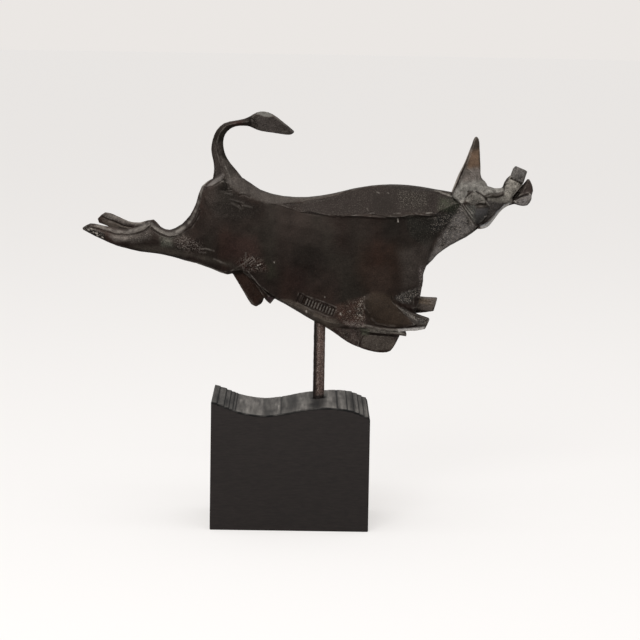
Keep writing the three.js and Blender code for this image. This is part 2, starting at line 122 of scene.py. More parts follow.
def distance_to_path(places, path):
    """How far each (x, z) place is from the path of straight stretches."""
    nearest = np.full(len(places), 1e9)
    for start, end in zip(path[:-1], path[1:]):
        a, along = np.array(start, float), np.subtract(end, start)
        share = np.clip((places - a) @ along / max(along @ along, 1e-9), 0, 1)
        gap = np.linalg.norm(places - a - share[:, None] * along, axis=1)
        nearest = np.minimum(nearest, gap)
    return nearest


def depth_inside(places, outline):
    """How far each (x, z) place is inside the closed outline. It is negative outside."""
    inside = np.zeros(len(places), bool)
    x, z = places.T
    for (ax, az), (bx, bz) in zip(outline, outline[1:] + outline[:1]):
        if az != bz:
            crosses = (az > z) != (bz > z)
            inside ^= crosses & (x < (bx - ax) * (z - az) / (bz - az) + ax)
    gap = distance_to_path(places, outline + outline[:1])
    return np.where(inside, gap, -gap)


def noise(points, size, seed=0):
    """Smooth noise from -1 to 1, with cells of about the given size."""
    scaled = points / size + 100.5
    cell = np.floor(scaled).astype(np.int64)
    part = scaled - cell
    part = part * part * (3 - 2 * part)
    total = np.zeros(len(points))
    for corner in itertools.product((0, 1), repeat=3):
        at = cell + corner
        mixed = at[:, 0] * 73856093 ^ at[:, 1] * 19349663 ^ at[:, 2] * 83492791 ^ (seed + 1) * 2654435
        mixed = (mixed ^ (mixed >> 13)) * 1274126177 & 0xFFFFFFFF
        value = ((mixed ^ (mixed >> 16)) & 0xFFFF) / 32767.5 - 1
        total += value * np.prod(np.where(corner, part, 1 - part), axis=1)
    return total


def rough_noise(points, size, seed=0, octaves=3):
    """Noise with finer noise laid over it."""
    layers = [noise(points, size / 2**i, seed + i) / 2**i for i in range(octaves)]
    return sum(layers)


# Meshes.
def evaluated(obj):
    """The object's mesh with its modifiers applied."""
    graph = bpy.context.evaluated_depsgraph_get()
    return bpy.data.meshes.new_from_object(obj.evaluated_get(graph))


def modified(obj, kind, **settings):
    """Applies one modifier to the object's own mesh."""
    modifier = obj.modifiers.new("step", kind)
    for name, value in settings.items():
        setattr(modifier, name, value)
    mesh = evaluated(obj)
    obj.modifiers.clear()
    obj.data = mesh
    return obj


def points_of(mesh):
    """The mesh's points in millimetres."""
    flat = np.empty(len(mesh.vertices) * 3, np.float32)
    mesh.vertices.foreach_get("co", flat)
    return flat.reshape(-1, 3).astype(float) / MM


def normals_of(mesh):
    flat = np.empty(len(mesh.vertices) * 3, np.float32)
    mesh.vertices.foreach_get("normal", flat)
    return flat.reshape(-1, 3).astype(float)


def put_points(mesh, points):
    mesh.vertices.foreach_set("co", (points * MM).astype(np.float32).ravel())
    mesh.update()


def put_attribute(mesh, name, values):
    """Keeps a number for each point, which a material can read."""
    attribute = mesh.attributes.new(name, "FLOAT", "POINT")
    attribute.data.foreach_set("value", values.astype(np.float32))


def neighbour_mean(mesh, values):
    """The mean of the values at each point's neighbours."""
    edges = np.empty(len(mesh.edges) * 2, np.int32)
    mesh.edges.foreach_get("vertices", edges)
    a, b = edges.reshape(-1, 2).T
    total = np.zeros_like(values)
    np.add.at(total, a, values[b])
    np.add.at(total, b, values[a])
    count = np.bincount(a, minlength=len(values)) + np.bincount(b, minlength=len(values))
    return total / np.maximum(count, 1).reshape((-1,) + (1,) * (values.ndim - 1))


def put_colours(mesh, name, colours):
    """Keeps a colour for each point, which a material can read."""
    attribute = mesh.attributes.new(name, "FLOAT_COLOR", "POINT")
    full = np.concatenate([np.clip(colours, 0, 1), np.ones((len(colours), 1))], axis=1)
    attribute.data.foreach_set("color", full.astype(np.float32).ravel())


def new_object(name, mesh):
    obj = bpy.data.objects.new(name, mesh)
    bpy.context.scene.collection.objects.link(obj)
    return obj


# Relief, rubbing and painted light and shade on the near flank. Each line is (width, height, tone, path):
# it stands up or is cut in by its height; a positive tone paints it light, as rubbed metal and painted
# highlights on bevels, and a negative one paints it dark, as painted shade in cuts and under edges.
LINES = {
    "rump and tail root": [
        (0.9, -0.8, -0.64, [(-74.8, 288.4), (-71.1, 291.1), (-68.1, 294), (-67.5, 299.1)]),
        (1.0, 0, 0.8, [(-77.3, 287.9), (-74.7, 290.5), (-71.4, 293.4), (-69.3, 295.3)]),
        (0.8, -0.4, -0.48, [(-75, 286.1), (-72.5, 287.1), (-70, 287.5), (-67, 289.3), (-64.1, 291),
            (-61.7, 292.8), (-60.1, 293.2)]),
        (0.9, -0.4, -0.5, [(-63.4, 313.7), (-62, 307.4), (-59.8, 299.9), (-57.1, 294.1)]),
        (1.1, -0.4, -0.45, [(-66.8, 323), (-65.8, 319.1), (-63.5, 311.4), (-61.4, 303.7), (-60.3, 298.4)]),
        (0.9, 0.2, 0.35, [(-58.8, 304.2), (-56.6, 299.7), (-54.8, 295.9), (-53.2, 288.6)]),
        (1.0, -0.4, -0.4, [(-59.3, 298.6), (-59.4, 295.3), (-58.7, 292.1), (-56.9, 289.1),
            (-56.2, 286.1)]),
        (0.8, -0.3, -0.4, [(-61.9, 284.5), (-57.6, 284.6), (-52.6, 285.2)]),
        (1.2, 0.1, 0.12, [(-61.8, 283.5), (-57.6, 282.5), (-52.5, 281.1)]),
        (0.8, -0.3, -0.4, [(-55.5, 282.5), (-52.6, 283.6)]),
        (0.9, -0.5, -0.48, [(-46.2, 280.5), (-43.2, 281.3), (-40.7, 280.9), (-37.3, 279.1)]),
        (1.2, 0.1, 0.14, [(-45.8, 282.1), (-43.3, 283), (-40.7, 282.4)]),
        (1.2, 0.1, 0.12, [(-54.1, 277.3), (-49.9, 275.9), (-45.7, 274.9), (-42.3, 274.1)]),
        (0.9, -0.5, -0.48, [(-52.8, 275.7), (-49, 274.1), (-45.2, 272.6), (-43.9, 270.3)]),
        (1.2, 0.1, 0.12, [(-52.4, 273.6), (-48.1, 271.7), (-44.7, 269.1)]),
        (1.2, 0.1, 0.14, [(-42.7, 272.2), (-38.8, 271.4), (-35.5, 270.5)]),
    ],
    "hind legs": [
        # Along the hind legs, the broad pale lines are painted highlights on the upper bevels, and the dark
        # lines under them are painted shade.
        (1.1, -0.9, -0.64, [(-172.1, 250.7), (-167, 249.7), (-161.9, 248.4), (-156.7, 247.1),
            (-151.6, 245.5), (-146.5, 245.2), (-141.4, 245.3), (-135.4, 245.8), (-131.2, 247.1),
            (-126.9, 248.8), (-124, 250.5), (-122.1, 252.9)]),
        (1.1, -0.9, -0.64, [(-121.5, 253.3), (-119.7, 250.6), (-116.7, 248.4), (-113.3, 246.3),
            (-109, 244.7), (-104.8, 243.7), (-100.5, 244.6), (-96.3, 246.9), (-92, 249.4),
            (-87.8, 252.5), (-84.4, 256.8), (-81.5, 262), (-79.8, 267.2)]),
        (1.7, 0, 0.42, [(-168, 252.2), (-161.3, 251), (-154.4, 249), (-147.6, 247.7), (-140.8, 247.8),
            (-134, 249.4), (-128, 252.2), (-122.9, 254.8)]),
        (1.7, 0, 0.47, [(-120.8, 254.3), (-117.6, 251.3), (-113.4, 248.7), (-108.3, 246.6),
            (-104.1, 246.3), (-98.2, 248.9), (-92.3, 252.8), (-88.1, 257.5), (-84.7, 263.5),
            (-82.2, 269.6), (-80.1, 276.6), (-79, 282.4), (-77.8, 286.5)]),
        (1.0, -0.8, -0.64, [(-162.9, 259.1), (-159.1, 257), (-154.4, 255.4), (-150.1, 253.7),
            (-145.8, 251.7), (-141.5, 250.5), (-138.9, 250.4)]),
        (1.7, 0, 0.42, [(-161.2, 261.4), (-155.3, 259.6), (-149.3, 257.2), (-142.4, 255.2),
            (-134.7, 254.2), (-127.8, 254.2)]),
        (0.7, -0.4, -0.48, [(-148.8, 249.6), (-146, 249.2), (-142.2, 248.9)]),
        (1.0, 0.15, 0.21, [(-79.8, 234.6), (-73.9, 235.2), (-67.1, 233.2)]),
        (0.9, 0.15, 0.18, [(-79.8, 232), (-73.9, 231.3)]),
        (1.2, 0.1, 0.18, [(-67.1, 226.2), (-61.1, 223.8), (-56, 221.6)]),
    ],
    "sheath": [
        (0.7, -0.3, -0.3, [(-40.4, 212.1), (-36.9, 209.5), (-33, 204.8), (-29.6, 201), (-26.1, 198)]),
        (0.7, 0.2, 0.18, [(-42.2, 214.3), (-39.1, 212.1), (-36.1, 210)]),
        (0.6, 0.35, 0.3, [(-38.3, 216.3), (-35.5, 212.6), (-31.2, 207.7), (-27, 202.2), (-24, 198.1),
            (-20.1, 193.8)]),
        (1.1, 0, 0.21, [(-49.8, 210.2), (-45, 202.6), (-39.8, 194.9), (-35.9, 189.8), (-33.3, 186.8)]),
    ],
    "groin strokes": [
        (0.9, 0.15, 0.2, [(-52.6, 215.9), (-48.4, 218.6), (-45, 220.9), (-41.6, 222.8), (-38.6, 225.9),
            (-36.5, 228.6)]),
        (0.6, 0.15, 0.2, [(-34.2, 228), (-42, 222.1)]),
        (0.6, 0.15, 0.2, [(-32.9, 226.4), (-40.7, 220.4)]),
        (0.6, 0.15, 0.2, [(-31.2, 225.1), (-38.1, 220.3)]),
        (0.9, 0.2, 0.18, [(-40.2, 232), (-40.1, 225.9)]),
        (0.8, 0.2, 0.18, [(-43.7, 221.4), (-42, 218.3), (-41.7, 216.1)]),
        (0.8, 0.2, 0.18, [(-34.8, 229.1), (-33.1, 226.9), (-31, 224)]),
        (0.6, 0.3, 0.8, [(-30.1, 221.4), (-29.4, 221.7)]),
        (0.6, 0.3, 0.85, [(-28, 222.1), (-27.3, 222.8)]),
        (0.6, 0.3, 0.7, [(-16, 224.6), (-15.8, 224.1)]),
        (0.8, -0.3, -0.4, [(-31.1, 220), (-29.6, 219.9)]),
        (0.9, -0.3, -0.4, [(-17.4, 225.5), (-16.8, 226.3)]),
    ],
    "hump": [
        # This line paints the shadow under the hump's lower edge.
        (1.1, -0.6, -0.8, [(67.1, 266.3), (73, 265.2), (79.7, 264.1), (86.6, 263.5), (92.4, 264.3),
            (98.3, 265.7), (105.1, 266.2), (110.2, 265.3), (115.4, 264.9), (120.5, 265.3)]),
        (0.8, 0.15, 0.35, [(62.2, 270.9), (63.9, 268.5)]),
        (0.8, 0.15, 0.35, [(64.9, 267.2), (67.9, 267.4)]),
        (0.8, 0.15, 0.3, [(84.8, 267.4), (90.5, 267.8)]),
        (0.8, 0.15, 0.3, [(103, 268.2), (105.1, 266.9)]),
        (0.7, 0.15, 0.5, [(111.9, 268.1), (117, 268.6)]),
        (0.7, 0.1, 0.3, [(70.2, 284.6), (72.4, 283.8)]),
        (0.7, 0.1, 0.4, [(79.3, 284.2), (80.3, 283.7)]),
        (0.7, 0.5, 0.8, [(88.1, 263.3), (88.6, 260.3)]),
        (0.7, -0.4, -0.56, [(86.9, 262), (87.2, 259.9)]),
        (0.8, -0.15, -0.3, [(-22, 273), (-12.4, 272.3), (-3.9, 269.2), (7.5, 266.2), (21.7, 264.7)]),
        (0.9, -0.4, -0.35, [(31.6, 265), (37.5, 264.2), (43.4, 265.2), (49.3, 266.2), (54.4, 266.7),
            (57.8, 266.3), (62, 267.4), (67.1, 268.3)]),
        (0.8, -0.4, -0.4, [(-7.6, 273.6), (-0.8, 273.2), (5.1, 273.7), (8.5, 275.3), (11.9, 276.2),
            (17.9, 276.6), (23.8, 277.5), (30.6, 279.3), (37.3, 281.4), (43.3, 284)]),
        (0.8, 0, 0.6, [(119, 286.6), (123.2, 285.8), (126.9, 284.5), (130.5, 283.3), (133.6, 281.9)]),
        (0.8, -0.2, -0.3, [(118.1, 284.7), (124.1, 283.3), (129.2, 281.6), (134.2, 279.8)]),
    ],
    "neck and head": [
        (0.9, -0.5, -0.4, [(134.2, 280.6), (137.6, 278.6), (141, 276), (141.3, 274.1)]),
        (0.8, 0.3, 0.3, [(141.7, 274.1), (146.2, 268.3), (149.7, 262.8), (152.8, 258)]),
        (0.7, 0.3, 0.4, [(143.7, 275.3), (146.6, 271.1), (149.3, 267.7), (151.6, 264.5)]),
        (0.7, 0.3, 0.3, [(145.8, 275), (149.5, 270.5), (152.4, 267.6)]),
        (0.6, 0.2, 0.35, [(140.6, 272), (143.5, 269.7)]),
        (0.6, 0.25, 0.45, [(148.4, 265), (150.6, 261.1), (152.3, 258.4)]),
        (0.6, 0.2, 0.25, [(144.6, 269), (147.1, 265.4)]),
        (0.7, -0.3, -0.5, [(142.9, 274.5), (147.1, 268.3), (150.6, 262.6)]),
        (0.7, -0.3, -0.5, [(145, 274.6), (148.6, 270), (152.5, 265)]),
        (1.0, -1.2, -1.0, [(154.7, 253.5), (155.8, 255), (157, 256.2)]),
        (0.9, -0.5, -0.75, [(147.5, 286.6), (149.7, 286.4), (151.8, 286.8)]),
        (0.9, -0.5, -0.8, [(154.6, 286.5), (157, 285.3), (159.4, 283.9), (161.4, 282.7)]),
        (1.0, -0.3, -0.5, [(162, 282), (163.5, 280.5), (164.1, 279)]),
        (0.9, -0.4, -0.7, [(145.6, 281.3), (146.9, 282.9), (149, 284.9)]),
        (0.7, -0.25, -0.6, [(148, 280.7), (149, 282), (150.9, 283.3)]),
        (0.7, -0.2, -0.4, [(152.3, 276.3), (154.2, 277.9), (155.2, 278.5)]),
        (0.9, 0.2, 0.4, [(157.9, 282.7), (160.2, 280.8), (161.6, 280.1)]),
        (0.7, 0.15, 0.35, [(157.4, 277.7), (159.5, 278), (161.5, 277.8)]),
        (0.6, 0.15, 0.45, [(163.8, 276.3), (166, 275.1)]),
        (0.6, -0.2, -0.8, [(156.2, 275.5), (158, 275.9), (160, 276.1), (162, 275.6)]),
        (1.0, -0.3, -1.0, [(158.4, 275.9), (160.2, 275.9)]),
        (1.1, 0.1, 0.3, [(154.5, 274), (157.1, 274.2), (160.5, 274.3)]),
        (0.9, 0.1, 0.35, [(160.5, 274.3), (163.6, 274.4)]),
        (0.7, -0.2, -0.5, [(165.6, 274.4), (165.7, 272), (165.4, 269.5), (164.3, 266)]),
        (0.9, -0.5, -0.85, [(163.7, 265), (161.6, 262.4), (159.6, 260.4), (157.2, 258.7)]),
        (0.6, 0.2, 0.5, [(161.9, 265.2), (162.5, 265.8)]),
        (0.6, 0.2, 0.4, [(163.6, 265.7), (164, 266.2)]),
        (1.4, 0.4, 0.7, [(159.6, 255.5), (163.8, 256.9), (167.1, 260), (170.9, 264.4), (175.2, 269.5),
            (178.5, 273.2), (182.2, 275.6)]),
        (0.6, -0.3, -0.55, [(162.3, 257), (165.8, 260.5), (168.3, 263), (172.1, 267.7), (175.9, 271.4),
            (179.7, 274.4)]),
        (0.7, 0.25, 0.5, [(160.5, 257.6), (162, 258.5), (164.4, 260.7), (167.4, 263.1), (171.1, 267.6)]),
        (0.7, -0.3, -0.5, [(161, 259.6), (164.3, 262.5), (166.8, 265.1), (169.8, 266.5), (171.6, 267.5)]),
        (0.8, -0.35, -0.4, [(162.4, 282.3), (167.2, 285), (174.1, 285.4), (178, 286.7)]),
        (1.3, 0.35, 0.15, [(163.7, 282.9), (168, 283.8), (174.1, 283.8), (176.7, 285)]),
        (0.8, -0.3, -0.35, [(162.4, 281.7), (168.1, 281.2), (174.5, 282.3), (178, 284.8)]),
        (1.1, -1.0, -1.0, [(184, 298), (186.6, 296.9), (190, 295.2), (193.9, 293.6)]),
        (0.8, -0.4, -0.6, [(183.9, 297.6), (183, 295.1), (182.2, 293.5), (180.2, 292.5), (178.5, 291.8)]),
        (0.7, -0.3, -0.5, [(178.2, 291.4), (178.4, 288), (177.3, 285.2)]),
        (0.9, 0.1, 0.25, [(182.6, 297.6), (180.7, 295), (179.2, 293)]),
        (0.6, -0.2, -0.5, [(187.3, 293.7), (190.1, 290.6)]),
        (0.6, 0.2, 0.4, [(188.1, 294.2), (190.9, 291.7)]),
        (0.6, -0.2, -0.5, [(190.9, 294.5), (193.1, 292.4)]),
        (0.6, 0.2, 0.5, [(188.7, 289.3), (189.4, 289.6)]),
        (0.6, 0.2, 0.66, [(194.9, 293.6), (192, 290.2), (188.9, 286.6), (186.4, 284)]),
        (1.1, -0.9, -1.0, [(186.5, 280.5), (189, 282.8), (191, 285.5)]),
        (0.9, -0.5, -0.9, [(187.3, 280), (190.5, 280.9), (192.9, 282.4), (196.5, 283.5), (199.9, 284.2)]),
        (0.7, 0.2, 0.35, [(191.8, 283.5), (195, 284.9), (197.8, 285.8), (200.2, 286.3)]),
        (0.7, 0.2, 0.9, [(200.5, 284.9), (200.8, 284.3)]),
        (0.6, 0.2, 0.7, [(187.7, 279), (189, 277.5)]),
        (0.7, -0.2, -0.4, [(186.3, 278.3), (186.9, 276.9)]),
        (0.8, 0.2, 0.24, [(188.5, 279.3), (192.4, 280.5), (196.6, 282), (199.5, 282.9)]),
        (1.0, 0, 0.36, [(139.8, 293.6), (141.7, 298.3), (144.1, 303.9), (146, 310.4), (147.9, 316.8),
            (149.4, 322.8)]),
        (0.9, 0, -0.48, [(155.4, 328), (156.4, 317.7), (157.4, 306.6), (158.2, 298.1), (159.3, 296)]),
        (0.6, 0.2, 0.24, [(146.5, 306.3), (149.6, 304), (153.1, 300.6)]),
        (0.6, 0.2, 0.24, [(146.1, 304.9), (150.1, 301.9), (154.1, 298.1)]),
        (0.6, -0.2, -0.32, [(146.5, 305.5), (149.9, 302.9), (153.4, 299.5)]),
    ],
    "shoulder and forelegs": [
        (1.0, -0.6, -0.6, [(70.6, 171.9), (74.9, 170.7), (80.9, 169.9), (87.8, 169.8), (96.3, 169.6),
            (102.2, 170.7), (105.6, 172.2)]),
        (1.1, 0, 0.15, [(67.5, 177.6), (71.4, 173.7), (77.4, 172.2), (87.6, 171.6)]),
        (1.3, 0.3, 0.33, [(61.3, 171.8), (68.1, 170.3), (75, 168.6), (83.5, 167.8), (92.1, 167.9)]),
        (0.8, -0.5, -0.48, [(58.8, 168.2), (60.9, 168.5), (63.1, 167.8)]),
        (0.9, 0.2, 0.24, [(73.4, 166.5), (79.4, 165.3), (87.9, 164.9), (96.5, 164.6)]),
        (0.8, -0.5, -0.48, [(71.6, 166.7), (75.1, 165.7), (78.5, 164.5)]),
        (0.9, -0.6, -0.48, [(64.2, 163.1), (71.1, 162.6), (77.1, 162.1), (85.6, 161.8), (90.8, 161.2)]),
        (1.0, 0, 0.3, [(92.6, 165.4), (96.2, 165.1)]),
        (0.8, 0.2, 0.3, [(88.5, 189.1), (92.4, 185.7), (97.7, 182.5), (102, 179.6), (106.3, 176.3)]),
        (0.8, -0.25, -0.35, [(89, 187), (93.3, 182.8), (99.4, 178.6), (103.7, 175.2), (106.4, 171.6)]),
        (0.9, -0.6, -0.48, [(84.1, 196.3), (85.1, 192.9), (87.7, 190.4)]),
        (0.9, 0.3, 0.21, [(103.2, 195.6), (103.3, 192.2), (103.2, 189.3)]),
        (0.8, -0.4, -0.48, [(105, 202.4), (104.8, 197.3)]),
        (0.9, 0.2, 0.21, [(107.2, 195.4), (113.8, 193), (119.9, 192.3)]),
        (0.8, -0.4, -0.32, [(106.4, 192.8), (113.9, 190.3), (119, 190.1)]),
        (0.9, -0.5, -0.4, [(62.5, 162.2), (60, 159.5), (58.4, 154.1)]),
        (0.8, 0, 0.18, [(61.2, 160.8), (59.9, 157.7), (59.5, 153.3)]),
    ],
    "tuft": [
        (0.9, -0.4, -0.7, [(-37, 345.3), (-34.6, 343.6), (-33.7, 340.7), (-32.2, 337.8)]),
        (1.1, -0.2, -0.5, [(-9, 335.5), (-6.9, 335.8)]),
    ],
    "spots": [
        (1.0, 0.3, 0.9, [(11.9, 182.8), (12.2, 181.7)]),
        (0.9, 0.3, 0.8, [(41, 181.6), (41.1, 180.6)]),
        (0.8, 0.2, 0.6, [(48.8, 183.9), (49.3, 183.2)]),
        (0.7, 0.2, 0.5, [(27.3, 195.9), (27.5, 194.9)]),
    ],
    "hoof pits": [
        (1.0, 0.3, 1.0, [(-174.7, 248.7), (-173.9, 248.4)]),
        (0.8, 0.3, 1.0, [(-172, 249.6), (-171.3, 249.2)]),
        (0.7, 0.3, 1.0, [(-170.2, 246.9), (-169.5, 246.5)]),
        (1.1, 0.3, 1.0, [(-167.9, 246), (-166.9, 245.7)]),
        (0.9, 0.3, 1.0, [(-166.9, 244.1), (-166.2, 243.7)]),
        (0.9, 0.3, 1.0, [(-162.5, 242.5), (-161.8, 242.2)]),
        (0.9, -0.4, -1.0, [(-177, 249.4), (-175.6, 248.2)]),
        (0.8, -0.4, -1.0, [(-173, 247.8), (-171.6, 247.2)]),
        (0.8, -0.4, -1.0, [(-169.9, 245), (-168.6, 244.4)]),
        (0.7, -0.4, -1.0, [(-165.4, 246.3), (-164.7, 245.5)]),
        (0.7, -0.4, -1.0, [(-163.6, 244.2), (-162.6, 243.8)]),
    ],
    "panel edge": [
        (0.9, 0.2, 0.21, [(8.9, 197.7), (12.3, 195.6), (16.6, 194.1), (23.4, 192), (28.6, 190.2),
            (34.6, 187.9), (37.6, 186.4)]),
    ],
}

# Small shifts of the near side's form, each (middle, reach, move).
SHIFTS = [
    ((-61.5, -4, 289), 8, (0, -0.8, 2.6)),
    ((3, -4, 268.5), 14, (0, 0, -2.4)),
    ((-152, 11, 262), 18, (0.9, 0, 1.2)),
]

# Small shifts of the outline, through the whole thickness, each (place, reach, move).
OUTLINE_SHIFTS = [
    ((177, 290.7), 4.5, (0.5, -1.6)),
    ((187.2, 308), 2.6, (0.5, -0.8)),
    ((111.5, 216), 8, (-1, 0)),
    ((117.5, 227), 8, (0.9, -0.3)),
]

# The tail's tuft has a flat near face, set in from its outline behind a bevel.
TUFT = {"face": 1.4, "bevel": 4, "drop": 3.5, "from": -41, "full": -36}

